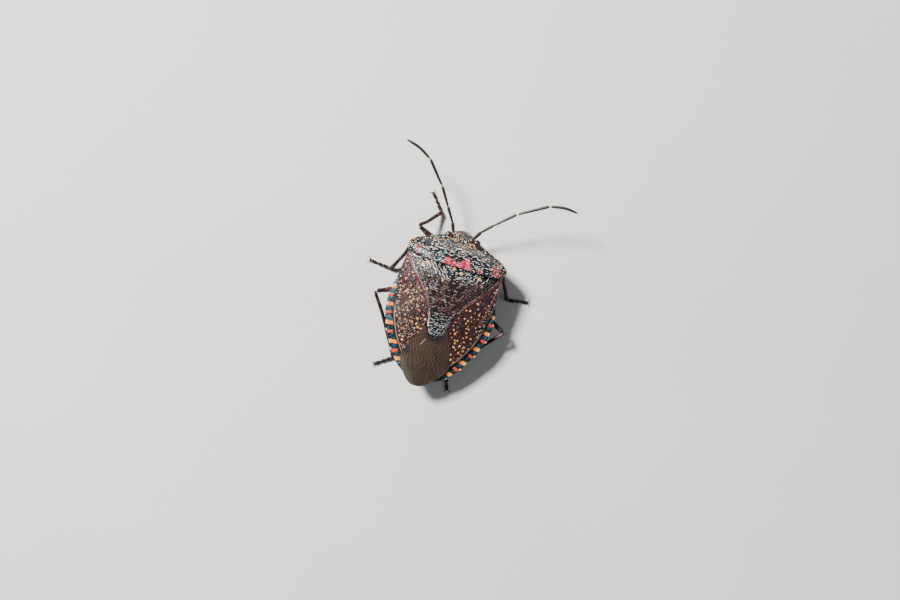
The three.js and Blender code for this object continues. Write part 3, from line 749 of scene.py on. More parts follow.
def rose_patches(x, y, rear):
    """Rose parts of the pronotum: what lies behind its rose edge, an oval that slants back on each
    shoulder and a small oval between them, all made ragged by noise. The ovals are weaker on the
    left (x > 0), a painted glare."""
    front = y - np.interp(x, *zip(*ROSE_EDGE)) + 0.22 * drift(x, y, 0.3, 11)
    rose = ease(-0.08, 0.06, front) * ease(1.76, 1.66, np.abs(x + 0.04)) * (1 - rear)
    slant = np.abs(x) - 4.44 - 0.3 * (y + 8.4)
    spot = oval(slant, y, (0, -8.42), (0.4, 0.62)) + 0.7 * drift(x, y, 0.26, 12)
    small = oval(np.abs(x), y, (2.78, -8.0), (0.36, 0.2)) + 0.9 * drift(x, y, 0.2, 13)
    # The ovals are weaker on the left (x > 0): painted glare, as if the light washed them out on that side.
    rose = np.maximum(rose, mix(0.95, 0.45, x > 0) * ease(1.1, 0.75, spot))
    return np.maximum(rose, mix(0.7, 0.25, x > 0) * ease(1.05, 0.8, small))


def pronotum_surface(x, y, margin_y):
    """Height of the pronotum: the arch between the margin's height and the crown's."""
    return mix(pronotum_margin(margin_y), pronotum_crown(y), arch(x))


def pronotum():
    """Pronotum: its width and the height of its margin follow the station of the side edge, and
    its crown that of the middle. The rear margin is a smooth lowered band."""
    s, t = across_grid(165, 450)
    side = mix(PRONOTUM_CORNER, SHOULDER_BACK, s)
    middle = mix(PRONOTUM_FRONT, PRONOTUM_BACK, s)
    y = mix(middle, side, np.abs(t) ** mix(1.6, 5, s))
    x = t * pronotum_width(side)
    from_edge = np.minimum((1 - np.abs(t)) * 5, s * 3.0 + 0.03)
    dots = ease(0.95, 0.45, from_edge)
    turn = 0.12 * np.sin(x * 1.1) - 0.35 * np.sign(x) * ease(2.5, 5.0, np.abs(x)) * ease(-8.4, -9.4, y)
    share = mix(0.70, 0.84, ease(-9.6, -8.4, y))
    raised, pit, glint, height, number = relief(x, y, turn, 3, share, dots)
    rear = ease(0.10, 0.03, (1 - s) * 2.9)
    front = ease(0.10, 0.02, s * 2.6)
    z = pronotum_surface(t, y, side) - 0.07 * rear - 0.05 * front
    # Two low swellings behind the head.
    for sign in (-1, 1):
        z = z + 0.05 * np.exp(-(((x - sign * 1.5) / 1.0) ** 2 + ((y + 10.0) / 0.32) ** 2))
    rose = rose_patches(x, y, rear)
    warmer = mix(0.5, 0.85, ease(-9.2, -10.0, y)) * patches(0.62, 0.85, x, y, 0.33, 15)
    shade = mix(0.75, 1.0, patches(0.2, 0.8, x, y, 1.1, 16))
    masks = {
        "raised": raised * (1 - 0.9 * rear) * shade * mix(1.0, 0.95, rose),
        "pit": np.maximum(0.9 * pit * (1 - 0.35 * rose), 0.9 * rear),
        "rose": rose,
        "warm": np.clip(dots * ease(0.2, 0.5, number) + warmer, 0, 1),
        "glint": glint * mix(0.7, 1.0, ease(-8.8, -9.6, y)) * (1 - rose) * (1 - rear),
        "brown": 0.5 * patches(0.6, 0.9, x, y, 0.8, 17),
    }

    def under(px, py):
        """Height of the lower side."""
        return pronotum_surface(px / SHOULDER, py, py) - PRONOTUM_DEPTH

    surface = (x, y, z + height * (1 - 0.6 * rear))
    shell("pronotum", "shell", surface, PRONOTUM_RIM, under, (0, -9.2), masks)


# Places and radii of the scutellum's yellow spots.
YELLOW_SPOTS = (
    (3.04, -7.3, 0.2), (3.56, -6.87, 0.17), (0.14, -7.4, 0.17), (-0.71, -7.1, 0.17), (-2.8, -7.12, 0.22),
    (-3.41, -6.44, 0.15), (2.35, -4.45, 0.15), (0.98, -5.85, 0.11),
)


def yellow_spots(x, y):
    """The yellow spots as a mask: the distance from each over its radius, made ragged."""
    spots = np.zeros_like(x)
    for at_x, at_y, radius in YELLOW_SPOTS:
        away = np.hypot(x - at_x, y - at_y) / radius + 0.5 * drift(x, y, 0.12, 34)
        spots = np.maximum(spots, ease(1.1, 0.75, away))
    return spots


def scutellum():
    """Scutellum: the wings' surface lifted a little, with a rim that rolls down, wrinkles along
    circles round a point under the pronotum, and a narrow pale border to its tongue."""
    s, t = across_grid(300, 250)
    y = mix(SCUTELLUM_FRONT, 0.06, s)
    half = scutellum_width(y - 0.06)
    x = t * half
    off = np.minimum((1 - np.abs(t)) * half, 3.0)
    z = wing_top(x, y) + SCUTELLUM_LIFT - 0.10 * ease(0.12, 0.0, off)
    z = z - 0.32 * ease(-7.25, -7.62, y)
    turn = -np.arctan2(x, y + 9.0)
    tongue = ease(-2.6, -1.8, y)
    base = ease(-5.3, -6.3, y + 0.25 * np.abs(x))
    dots = 0.7 * ease(1.2, 2.2, np.abs(x)) * ease(-6.9, -6.2, y) * (1 - tongue)
    share = mix(0.6, 0.82, np.maximum(base, 0.6 * tongue))
    raised, pit, glint, height, _ = relief(x, y, turn, 31, share, dots, 0.94)
    shade = mix(0.5, 1.15, clouds(x, y, 0.9, 33))
    raised = raised * np.clip(mix(0.42, 0.95, np.maximum(base, 0.15 * tongue)) * shade, 0, 1)
    rim = ease(0.085, 0.04, off) * ease(-2.4, -1.4, y)
    spots = yellow_spots(x, y)
    side_band = ease(0.42, 0.2, off) * ease(-7.3, -7.0, y) * ease(-2.3, -3.2, y)
    raised = np.maximum(raised * (1 - 0.6 * side_band), spots)
    brown = (1 - tongue) * (1 - base) * mix(0.35, 1.0, patches(0.3, 0.7, x, y, 0.7, 36))
    masks = {
        "raised": np.maximum(raised * (1 - rim), 0.66 * rim * patches(0.1, 0.5, x, y, 0.3, 37)),
        "pit": 0.9 * pit * (1 - rim) * (1 - spots),
        "rose": np.zeros_like(x),
        "warm": np.clip(spots + 0.35 * patches(0.6, 0.8, x, y, 0.25, 35) * (1 - tongue), 0, 1),
        "brown": brown * (1 - spots),
        "glint": glint * np.maximum(0.35 * base, tongue) * (1 - rim),
    }
    surface = (x, y, z + height * (1 - rim) + 0.02 * rim)
    shell("scutellum", "shell", surface, SCUTELLUM_RIM, below_wings(SCUTELLUM_DEPTH), (0, -5.0), masks)


VEIN_OUTER = [(5.46, -8.1), (5.38, -7.4), (5.1, -5.65), (4.78, -3.78), (4.4, -2.5), (4.05, -1.6)]
VEIN_INNER = [
    (5.3, -7.75), (5.05, -7.2), (4.2, -6.0), (3.35, -5.0), (2.5, -3.95), (1.8, -3.0), (1.43, -2.4),
]
FINE_VEINS = (
    [(4.7, -5.4), (4.1, -3.6), (3.7, -1.8), (3.3, 0.0), (2.95, 1.5)],
    [(3.9, -5.0), (3.2, -3.2), (2.7, -1.3), (2.35, 0.4)],
)


def vein_along(x, y, line, reach, sharp, fades, wander=0.0):
    """A vein on a broken line, 0 at the distance reach from it and 1 within sharp, which fades
    from the end of the line back to the share fades of it. Gives the mask and the distance."""
    away, way = from_line(x, y, line)
    return ease(reach, sharp, away + wander) * ease(1.0, fades, way), away


def corium_place(s, t):
    """Places on the corium: across from the scutellum, or further back the seam, to the wing's
    outer edge. Gives them and the distances from the two edges."""
    y = mix(mix(-7.5, -8.06, t**3), CORIUM_TIP, s)
    beside = scutellum_width(y) + 0.03
    past = np.clip((y + 1.6) / 0.8, 0, 1)
    inner = mix(np.minimum(beside, 4.3), np.maximum(suture_at(y), beside), past)
    outer = np.maximum(wing_width(y), inner + 0.03)
    x = mix(inner, outer, t)
    return x, y, x - inner, outer - x


def corium(side, sign):
    """Leathery wing: the strip between the scutellum or the seam and the wing's outer edge, on
    the wings' surface, with raised veins, uneven dots and pits."""
    seed = 70 if sign > 0 else 90
    x, y, gap_in, gap_out = corium_place(*across_grid(380, 165, 0.0, 1.0))
    z = wing_top(x, y) - 0.07 * ease(0.12, 0.0, gap_out) - 0.03 * ease(0.1, 0.0, gap_in) * ease(-2, -1, y)
    z = z - 0.2 * ease(-7.55, -7.75, y) * ease(5.0, 4.0, x)

    wander = 0.03 * drift(x, y, 0.35, seed + 3)
    outer_vein, from_outer = vein_along(x, y, VEIN_OUTER, 0.08, 0.03, 0.8, wander)
    inner_vein, from_inner = vein_along(x, y, VEIN_INNER, 0.08, 0.03, 0.9, wander)
    vein = np.maximum(outer_vein, inner_vein)
    fine = np.maximum(*(vein_along(x, y, line, 0.07, 0.02, 0.8)[0] for line in FINE_VEINS))

    # The clavus is the part inside the inner vein, and the strip the part outside the outer one.
    clavus = ease(0.02, 0.12, line_at(y, VEIN_INNER) - x) * ease(-2.3, -2.6, y)
    strip = ease(0.0, 0.1, x - line_at(y, VEIN_OUTER)) * ease(-0.9, -1.9, y)
    dot, number = blots(x, y, 0.47, (0.07, 0.165), seed, 0.74)
    dot = dot * (1 - clavus) * ease(0.12, 0.22, from_inner) * (1 - strip)
    row, _ = blots(x, y, 0.32, (0.07, 0.11), seed + 8, 0.75)
    dot = np.maximum(dot, 0.8 * row * strip * ease(0.03, 0.1, from_outer - 0.05))
    shade = mix(0.55, 1.0, patches(0.25, 0.6, x, y, 0.37, seed + 15))
    dot = dot * ease(0.06, 0.15, gap_out) * (1 - 0.7 * vein) * shade

    stripes = np.maximum(
        0.85 * ease(0.06, 0.025, np.abs(from_inner - 0.21)), 0.5 * ease(0.07, 0.03, np.abs(gap_in - 0.1))
    )
    stripes = stripes * mix(0.3, 1.0, patches(0.35, 0.6, x, y, 0.28, seed + 12))
    margin = ease(0.035, 0.06, gap_out) * ease(0.15, 0.12, gap_out) * ease(-2.4, -1.5, y)
    # Painted highlights: the pale specks and the pale on the ripples stand for glints on the glossy wing.
    # The ripples' height is real relief.
    glint_speck, _ = blots(x, y, 0.245, (0.045, 0.08), seed + 30, 0.62)
    ripple_and_glint = wrinkles(x, y, 0.5, seed + 40, 0.8, 0.78)
    beyond = 1 - 0.5 * strip
    # pale: real pale stripes in the clavus and a pale line by the outer margin, with the painted highlights
    # of the specks and ripples.
    pale = np.maximum.reduce([
        0.8 * stripes * clavus, 0.62 * margin, 0.2 * glint_speck * beyond, (0.07 + 0.2 * clavus) * ripple_and_glint * beyond
    ])
    pit, _ = pits(x, y, 0.16, (0.045, 0.07), seed + 24)
    pit = pit * (1 - dot) * (1 - vein) * (1 - pale)
    height = 0.03 * dot - 0.032 * pit + 0.04 * vein + 0.02 * fine + 0.02 * margin
    height = height + (0.024 + 0.03 * clavus) * ripple_and_glint * (1 - dot) * (1 - vein)
    height = height + 0.03 * drift(x, y, 0.25, seed)
    masks = {
        "dot": dot,
        "warm": ease(0.05, 0.75, mix(number, 0.15, strip)),
        "vein": np.maximum(vein, 0.14 * fine),
        "pit": 0.85 * pit,
        "dark": np.maximum(0.9 * strip, 0.8 * clavus),
        "pale": pale,
    }
    surface = (x * sign, y, z + height)
    under = below_wings(CORIUM_DEPTH)
    shell("corium_" + side, "corium", surface, CORIUM_RIM, under, (3.6 * sign, -2.6), masks)


def edge_station(x):
    """Station on the wings' rear edge where their half-width is |x|, by halving."""
    low, high = np.full_like(x, CORIUM_TIP), np.full_like(x, WING_TIP)
    for _ in range(30):
        y = (low + high) / 2
        wider = wing_width(y) > np.abs(x)
        low, high = np.where(wider, y, low), np.where(wider, high, y)
    return low


free_edge = curve([(0, -1.9), (0.25, -1.25), (0.5, 0), (0.75, 1.35), (1, 2.5)])


def lattice(x, y):
    """Veins of both wings on the membrane: two fans of lines, one from beyond each front corner.
    Gives how close each place is to the left wing's lines and to the right one's."""
    wave = 0.05 * drift(x, y, 0.9, 123)
    out = []
    for sign, step in ((1, 0.050), (-1, 0.056)):
        angle = np.arctan2(x * sign - 3.6, y + 3.4) + wave
        off = np.abs(angle / step - np.round(angle / step)) * step * np.hypot(x * sign - 3.6, y + 3.4)
        out.append(ease(0.05, 0.005, off) * mix(1.0, 0.5, ease(2.6, 4.6, y)))
    return out


def under_tongue(x, y):
    """How far the membranes sink to pass under the scutellum's tongue."""
    return 0.42 * ease(0.22, -0.02, np.abs(x) - scutellum_width(y)) * ease(0.35, 0.05, y)


def tip_lean(y):
    """Sideways lean of the folded wings' rear end."""
    return 0.34 * ease(2.9, 6.1, y)


def sag(x, y):
    """Slow waves in the height of both membranes."""
    return 0.06 * drift(x, y, 1.1, 120)


def left_membrane():
    """Thin rear part of the left wing, which lies on the right one. It fans from its seam to the
    free edge, with a fold near its base."""
    s, t = across_grid(190, 210, 0.0, 1.0)
    near = np.clip(t * 6, 0, 1)
    seam_y = mix(-1.0, CORIUM_TIP, np.clip((t - 0.08) / 0.92, 0, 1))
    start_x = mix(-0.35, suture_at(seam_y) + 0.05, near**0.8)
    start_y = mix(-0.3, seam_y, near)
    end_x = free_edge(t)
    y = mix(start_y, edge_station(end_x), s)
    x = mix(start_x, end_x, s) + 0.35 * np.sin(math.pi * s) * (1 - t) * 0.6 + tip_lean(y)
    edge = np.minimum((1 - s) * 4.5, (1 - t) * 3 + 0.02)
    own, through = lattice(x, y)
    # The fold is raised, and its line is also painted in the light vein colour as a painted highlight along
    # it.
    fold_and_highlight = ease(0.09, 0.03, from_line(x, y, [(0.75, 0.75), (1.05, 1.4)])[0])
    z = wing_top(x, y) + 0.01 + 0.008 * own + 0.004 * through + sag(x, y)
    z = z - 0.03 * ease(0.14, 0.0, edge) - under_tongue(x, y) + 0.04 * fold_and_highlight
    # Painted shade: dark at the base under the scutellum's tip, and in an oval beside the corium's edge.
    dark = 0.9 * ease(1.15, 0.35, np.hypot(x * 0.8, y + 0.1) + 0.4 * drift(x, y, 0.5, 121))
    dark = np.maximum(dark, 0.6 * ease(1.1, 0.5, oval(x, y, (2.35, 2.2), (0.35, 0.75))))
    border = (wing_width(y) - np.abs(x)) * 0.7 + 0.15 * drift(x, y, 0.5, 122)
    masks = {
        "vein": np.clip(0.27 * own + 0.18 * through + fold_and_highlight, 0, 1),
        "dark": dark * (1 - fold_and_highlight),
        "clear": ease(0.55, 0.15, border) * ease(2.9, 3.8, y),
    }
    under = below_wings(LEFT_MEMBRANE_DEPTH)
    shell("membrane_left", "membrane", (x, y, z), MEMBRANE_RIM, under, (0.6, 3.0), masks)


def right_membrane():
    """Thin rear part of the right wing, from its outer edge to a little past the midline. It
    rises at the edge of the left one, which covers the rest of it."""
    s, t = across_grid(170, 140, 0.0, 1.0)
    y = mix(-0.95, 5.66, s)
    outer = np.where(y < CORIUM_TIP, suture_at(y) + 0.04, wing_width(y))
    inner = np.minimum(0.6, outer * 0.4) * np.clip((y - 0.2) * 2, 0, 1)
    x = mix(-outer, inner, t) + tip_lean(y)
    left_edge = mix(0, -1.9, np.clip(y / 4.6, 0, 1))
    bare = ease(-0.38, -0.12, left_edge - x)
    through, own = lattice(x, y)
    z = wing_top(x, y) - mix(0.08, 0.0, bare) - under_tongue(x, y) - 0.02
    z = z + 0.004 * through + 0.008 * own + sag(x, y)
    z = z - 0.05 * ease(0.1, 0.0, x + outer) * ease(2.7, 3.0, y)
    # Painted shade: dark at the base under the scutellum's tip, and in an oval beside the corium's edge.
    dark = 0.9 * ease(1.3, 0.4, np.hypot((x + 0.2) * 0.75, y))
    masks = {
        "vein": 0.18 * through + 0.27 * own,
        "dark": np.maximum(dark, 0.5 * ease(1.1, 0.5, oval(x, y, (-2.5, 2.1), (0.3, 0.6)))),
        "clear": ease(0.5, 0.1, x + outer) * ease(3.0, 3.8, y),
    }
    under = below_wings(RIGHT_MEMBRANE_DEPTH)
    shell("membrane_right", "membrane", (x, y, z), MEMBRANE_RIM, under, (-0.9, 2.6), masks)


def head():
    """Head: a wedge whose width follows the station and whose height arches from its margin to
    its crown, with a groove down each side of the middle lobe."""
    s, t = across_grid(170, 190)
    side = mix(HEAD_TIP, NECK_SIDE + 0.06, 1 - (1 - s) ** 1.8)
    x = t * head_width(side)
    y = side + (NECK_MIDDLE - NECK_SIDE) * s * s * (1 - t * t)
    z = mix(head_margin(y), head_crown(y), 1 - np.abs(t) ** 2.2)
    groove = ease(0.07, 0.0, np.abs(np.abs(x) - mix(0.2, 0.34, s))) * ease(-11.15, -11.35, y)
    raised, pit, glint, height, number = relief(x, y, math.pi / 2 + 0.5 * t, 51, 0.55, 0.8, 0.85)
    masks = {
        "raised": raised * (1 - groove),
        "pit": np.maximum(0.9 * pit, 0.8 * groove),
        "rose": np.zeros_like(x),
        "warm": ease(0.3, 0.65, number),
        "glint": glint * (1 - groove),
        "brown": 0.3 * patches(0.4, 0.8, x, y, 0.5, 53),
    }

    def under(px, py):
        """Height of the lower side."""
        return mix(belly(py), head_margin(py) - 0.3, np.clip(np.abs(px) / 1.5, 0, 1) ** 2.4)

    shell("head", "shell", (x, y, z + height * 0.8 - 0.05 * groove), HEAD_RIM, under, (0, -11.4), masks)


THORAX_SEAMS = np.array([-8.35, -6.35])


def thorax():
    """Thorax: closed body under the pronotum and the wings' front. Each ring is squared off
    above, under those plates, and goes down to the belly below, where it has pits and seams."""
    rows, around = 90, 160
    way = np.linspace(0, TAU, around, endpoint=False)
    s, turn = np.meshgrid(np.linspace(0, 1, rows), way, indexing="ij")
    side = mix(THORAX_FRONT, THORAX_BACK, s)
    middle = mix(PRONOTUM_FRONT, THORAX_BACK, s)
    across = np.cos(turn)
    y = mix(middle, side, np.abs(across) ** 1.6)
    x = across * thorax_width(side)
    beyond = ease(-0.05, 0.08, np.abs(x) - wing_width(y)) * ease(-7.6, -6.6, y)
    over_pronotum = pronotum_surface(x / np.maximum(1, pronotum_width(y)), y, y) - THORAX_UNDER_PRONOTUM
    over_wing = wing_top(x, y) - THORAX_UNDER_WINGS + 0.26 * beyond
    top = np.where(y < -7.9, over_pronotum, over_wing) - 0.2 * arch(across)
    edge = top - 0.3
    low = np.minimum(edge, mix(belly(y), edge, np.abs(across) ** 1.7))
    upright = np.abs(np.sin(turn))
    upper = np.sin(turn) >= 0
    z = np.where(upper, mix(edge + 0.15, top, upright**0.35), mix(edge + 0.15, low, upright**0.6))
    pit, _ = pits(x, y, 0.26, (0.07, 0.12), 160, turn=0.3)
    seams = ease(0.09, 0.0, nearest(y + 0.05 * np.abs(x), THORAX_SEAMS))
    z = z + np.where(upper, 0, 0.05 * pit + 0.09 * seams)
    masks = with_poles({"teal": beyond * patches(0.2, 0.6, x, y, 0.22, 161)})
    points, faces = closed_rings(np.stack([x, y, z], -1), (0, PRONOTUM_FRONT, 3.0), (0, THORAX_BACK, 3.0))
    mesh_piece("thorax", points, faces, "underside", masks)


ORANGE_BARS = np.array([-3.8, -1.87, 0.08, 1.95, 3.59])
RED_BARS = np.array([-2.88, -0.96, 0.98, 2.82])
# How far the rim's inner edge lies below the wings' margin, how much lower its outer edge is, and
# how far below the margin the lower side starts.
RIM_DROP, RIM_SLOPE, KEEL_DROP = 0.29, 0.14, 0.84


def tooth(y):
    """1 at the rear end of each rim segment, falling off slowly forwards and fast backwards."""
    off = y[..., None] - SEGMENT_ENDS
    near = np.where(off < 0, 1 + off / 0.4, 1 - off / 0.12)
    return np.clip(near, 0, 1).max(axis=-1)


def rim_bands(far, station, spread, on_rim):
    """Orange and red bars across the rim, with pale ends: each slants back towards the edge, the
    red ones more, and noise makes it ragged. Gives the masks orange, red and pale."""
    taper = ease(-3.0, 3.0, station)
    ragged = drift(far, station, 0.14, 140)
    lean = spread - 0.5
    from_orange = nearest(station - (0.05 + 0.12 * taper) * lean, ORANGE_BARS) + 0.06 * ragged
    from_red = nearest(station - (0.22 + 0.2 * taper) * lean, RED_BARS) + 0.06 * ragged
    orange = ease(0.215, 0.15, from_orange) * on_rim
    pale = orange * ease(0.80, 0.90, spread + 0.35 * ragged) * ease(0.99, 0.95, spread)
    orange = orange * ease(0.05, 0.15, spread + 0.1 * ragged) * ease(0.96, 0.90, spread)
    red = ease(0.155, 0.10, from_red) * on_rim
    red = red * ease(0.2, 0.34, spread + 0.2 * ragged) * ease(0.95, 0.88, spread)
    corner = ease(0.84, 0.92, spread) * ease(0.15, 0.09, nearest(station + 0.03, SEGMENT_ENDS))
    return orange, red, np.maximum(pale, corner * on_rim)


def abdomen():
    """Abdomen: closed body under the wings. Its upper side is hollowed under the wings and ends
    in a flat banded rim, and its lower side is a smooth keel with a seam at each segment."""
    rows, half = 330, 62
    # Shares out from the midline: 1 at the wings' edge and 2 at the rim's.
    out = np.concatenate([np.linspace(0, 0.93, 18, endpoint=False), np.linspace(0.93, 2, half - 18)])
    y = mix(ABDOMEN_FRONT, ABDOMEN_TIP, np.linspace(0, 1, rows) ** 0.96)[:, None]
    full = abdomen_width(y)
    rim = full + 0.12 * tooth(y[:, 0])[:, None] * np.minimum(1, full)
    wing = np.minimum(wing_width(y) - 0.02, full * 0.92)
    far = np.where(out <= 1, out * wing, mix(wing, rim, np.clip(out - 1, 0, 1)))
    station = y + 0 * far
    spread = np.clip(out - 1, 0, 1) + 0 * far
    on_rim = ease(0.98, 1.04, out) + 0 * far

    hollow = wing_top(far, station) - ABDOMEN_UNDER_WINGS
    hollow = hollow - 0.5 * arch(far / np.maximum(0.5, wing_width(station)))
    level = wing_margin(station) - RIM_DROP - RIM_SLOPE * spread
    top = mix(np.minimum(hollow, level - 0.1), level, on_rim)
    top = np.maximum(top, belly(station) + 0.3)
    orange, red, pale = rim_bands(far, station, spread, on_rim)
    plain = on_rim * (1 - orange) * (1 - red)
    seam = ease(0.07, 0.0, nearest(station - 0.13, SEGMENT_ENDS)) * on_rim
    pit, _ = pits(far, station, 0.2, (0.05, 0.09), 150, turn=0.4, share=0.8)
    pit = 0.8 * pit * plain
    teal = plain * ease(0.12, 0.4, spread) * ease(0.88, 0.7, spread)
    teal = teal * patches(0.3, 0.62, far, station, 0.2, 141) * (1 - pit) * (1 - seam)
    top = top - 0.07 * seam - 0.03 * pit + 0.02 * (orange + red)

    share = np.minimum(1, far / np.maximum(0.01, full))
    bottom = mix(belly(station), wing_margin(station) - KEEL_DROP, share**2)
    ridge = ease(0.10, 0.0, nearest(station, SEGMENT_ENDS + 0.25))
    bottom = bottom + 0.05 * ridge * (1 - ease(0.97, 1.0, spread))

    def all_round(above, below, right_above=None, right_below=None):
        """One ring of values: left above outwards, left below inwards, right below outwards and
        right above inwards. The right side's are the left's unless given."""
        right_above = above if right_above is None else right_above
        right_below = below if right_below is None else right_below
        stretches = [above, below[:, ::-1], right_below[:, 1:], right_above[:, ::-1][:, :-1]]
        return np.concatenate(stretches, axis=1)

    upper = np.stack([far, station, top], -1)
    lower = np.stack([far, station, bottom], -1)
    mirror = np.array([-1, 1, 1])
    rings = all_round(upper, lower, upper * mirror, lower * mirror)
    none = np.zeros_like(far)
    lower_band = ease(0.80, 1.0, share)
    masks = {
        "orange": all_round(orange, 0.8 * orange * lower_band),
        "red": all_round(red, 0.8 * red * lower_band),
        "pale": all_round(pale, none),
        "pit": all_round(np.maximum(pit, 0.7 * seam), none),
        "under": all_round(ease(0.3, 0.0, on_rim), ease(1.0, 0.9, share)),
        "teal": all_round(teal, 0.5 * ease(0.72, 0.9, share) * (1 - 0.8 * orange) * (1 - red)),
    }
    tip_height = (rings[-1, 0, 2] + rings[-1, rings.shape[1] // 2, 2]) / 2
    points, faces = closed_rings(rings, (0, ABDOMEN_FRONT, 2.6), (0, ABDOMEN_TIP, tip_height))
    mesh_piece("abdomen", points, faces, "abdomen", with_poles(masks))


# Limbs. The joints are those of the solids: hip, knee, ankle, and the foot's end on the floor.
ANKLE = 0.42
LEGS = {
    "fore_left": [(1.35, -9.5, 1.5), (4.96, -11.06, 2.75), (2.99, -13.67, ANKLE), (4.53, -15.51)],
    "fore_right": [(-1.35, -9.5, 1.5), (-4.3, -9.3, 2.75), (-4.2, -9.95, ANKLE), (-2.4, -10.8)],
    "mid_left": [(1.35, -7.26, 1.15), (5.14, -8.69, 2.85), (6.56, -5.82, ANKLE), (9.01, -6.04)],
    "mid_right": [(-1.35, -7.26, 1.15), (-5.28, -9.02, 2.85), (-7.11, -6.37, ANKLE), (-9.42, -6.85)],
    "hind_left": [(1.35, -5.5, 1.05), (7.37, -2.81, 2.5), (3.3, 3.64, ANKLE), (5.12, 4.92)],
    "hind_right": [(-1.35, -5.5, 1.05), (-7.44, -2.65, 2.5), (-2.8, 3.4, ANKLE), (-3.56, 5.29)],
}
FOOT_HEIGHT = 0.17
# Corners of a claw from its root: onwards, out to its side, and up.
CLAW = ((0, 0, 0), (0.2, 0.16, 0.06), (0.36, 0.34, -0.02), (0.38, 0.42, -0.12))

thigh_radius = curve([
    (0, 0.05), (0.02, 0.3), (0.08, 0.4), (0.14, 0.33), (0.17, 0.22), (0.22, 0.26), (0.5, 0.36), (0.8, 0.3),
    (0.92, 0.24), (0.97, 0.27), (0.99, 0.2), (1, 0.03),
])
shin_radius = curve([
    (0, 0.03), (0.015, 0.15), (0.05, 0.19), (0.1, 0.2), (0.5, 0.21), (0.85, 0.23), (0.96, 0.27),
    (0.99, 0.2), (1, 0.03),
])
foot_radius = curve([
    (0, 0.03), (0.03, 0.14), (0.2, 0.18), (0.38, 0.2), (0.43, 0.11), (0.5, 0.16), (0.6, 0.19), (0.66, 0.1),
    (0.74, 0.14), (0.92, 0.19), (0.98, 0.15), (1, 0.03),
])


def leg_piece(name, body, seed, share):
    """A piece of a leg, with reddish streaks of a share: noise drawn out along the limb."""
    points, faces = body
    way = points[:, 0] * 0.7 + points[:, 1] * 0.7
    streak = share * patches(0.45, 0.7, way, points[:, 2] * 4 + points[:, 0] * 2, 0.5, seed)
    mesh_piece(name, points, faces, "limb", {"streak": streak})


def foot(ankle, toe):
    """Points and faces of a foot: its three lobes, and on each side of its end a curved claw
    and a pad."""
    start = np.array([ankle[0], ankle[1], FOOT_HEIGHT])
    end = np.array([toe[0], toe[1], FOOT_HEIGHT])
    heading = (end - start) / np.linalg.norm(end - start)
    start = start - 0.08 * heading
    way = np.linspace(0, 1, 70)
    sole = start + (end - start) * way[:, None]
    sole[:, 2] += 0.05 * np.sin(math.pi * way) + 0.2 * ease(0.2, 0.02, way)
    sole[:, 2] = np.maximum(sole[:, 2], foot_radius(way) * 0.82)
    parts = [tube(sole, foot_radius(way), 16)]
    across = np.array([-heading[1], heading[0], 0])
    root = end - 0.05 * heading
    for sign in (-1, 1):
        corners = [root + on * heading + out * sign * across + (0, 0, up) for on, out, up in CLAW]
        claw = smooth_path(corners, 6)
        parts.append(tube(claw, mix(0.065, 0.014, np.linspace(0, 1, len(claw))), 8))
        pad = end + 0.1 * heading + 0.07 * sign * across
        parts.append(ball((pad[0], pad[1], 0.075), (0.08, 0.08, 0.07), 10, 12))
    return joined(parts)


def leg(name, number):
    """One leg as three pieces: thigh with its hip, shin that bends at the knee, and foot."""
    hip, knee, ankle, toe = [np.array(p, float) for p in LEGS[name]]
    way = np.linspace(0, 1, 60)
    thigh = hip + (knee - hip) * way[:, None]
    thigh[:, 2] += 0.12 * np.sin(math.pi * way)
    leg_piece("femur_" + name, tube(thigh, thigh_radius(way), 20, 0.9), 200 + number, 0.9)
    down = (ankle - knee) / np.linalg.norm(ankle - knee)
    out = (knee - hip) / np.linalg.norm(knee - hip)
    bend = knee + 0.16 * out + 0.34 * down
    third = knee + 0.32 * (ankle - knee)
    two_thirds = knee + 0.66 * (ankle - knee)
    shin = smooth_path([knee + 0.06 * out, bend, third, two_thirds, ankle], 20)
    radii = shin_radius(np.linspace(0, 1, len(shin)))
    leg_piece("tibia_" + name, tube(shin, radii, 16), 220 + number, 0.9)
    leg_piece("tarsus_" + name, foot(ankle, toe), 240 + number, 0.27)


# Joints of the antennae, from the head outwards, and a place that the last segment bends through.
FEELERS = {
    "left": [
        (1.27, -11.86, 2.4), (1.6, -12.55, 2.75), (2.66, -14.02, 3.4), (3.95, -15.8, 4.2),
        (6.1, -18.06, 5.1), (9.18, -19.23, 5.5),
    ],
    "right": [
        (-1.36, -11.86, 2.4), (-1.72, -12.5, 2.75), (-2.75, -13.53, 3.4), (-4.77, -15.38, 4.2),
        (-7.87, -17.2, 5.1), (-11.07, -17.41, 5.5),
    ],
}
FEELER_BENDS = {"left": (7.6, -18.82, 5.38), "right": (-9.5, -17.5, 5.38)}
feeler_radius = curve([
    (0, 0.07), (0.03, 0.115), (0.3, 0.15), (0.8, 0.175), (0.96, 0.17), (0.99, 0.13), (1, 0.07),
])
tip_radius = curve([
    (0, 0.07), (0.03, 0.12), (0.3, 0.165), (0.7, 0.16), (0.9, 0.12), (0.97, 0.08), (1, 0.02),
])


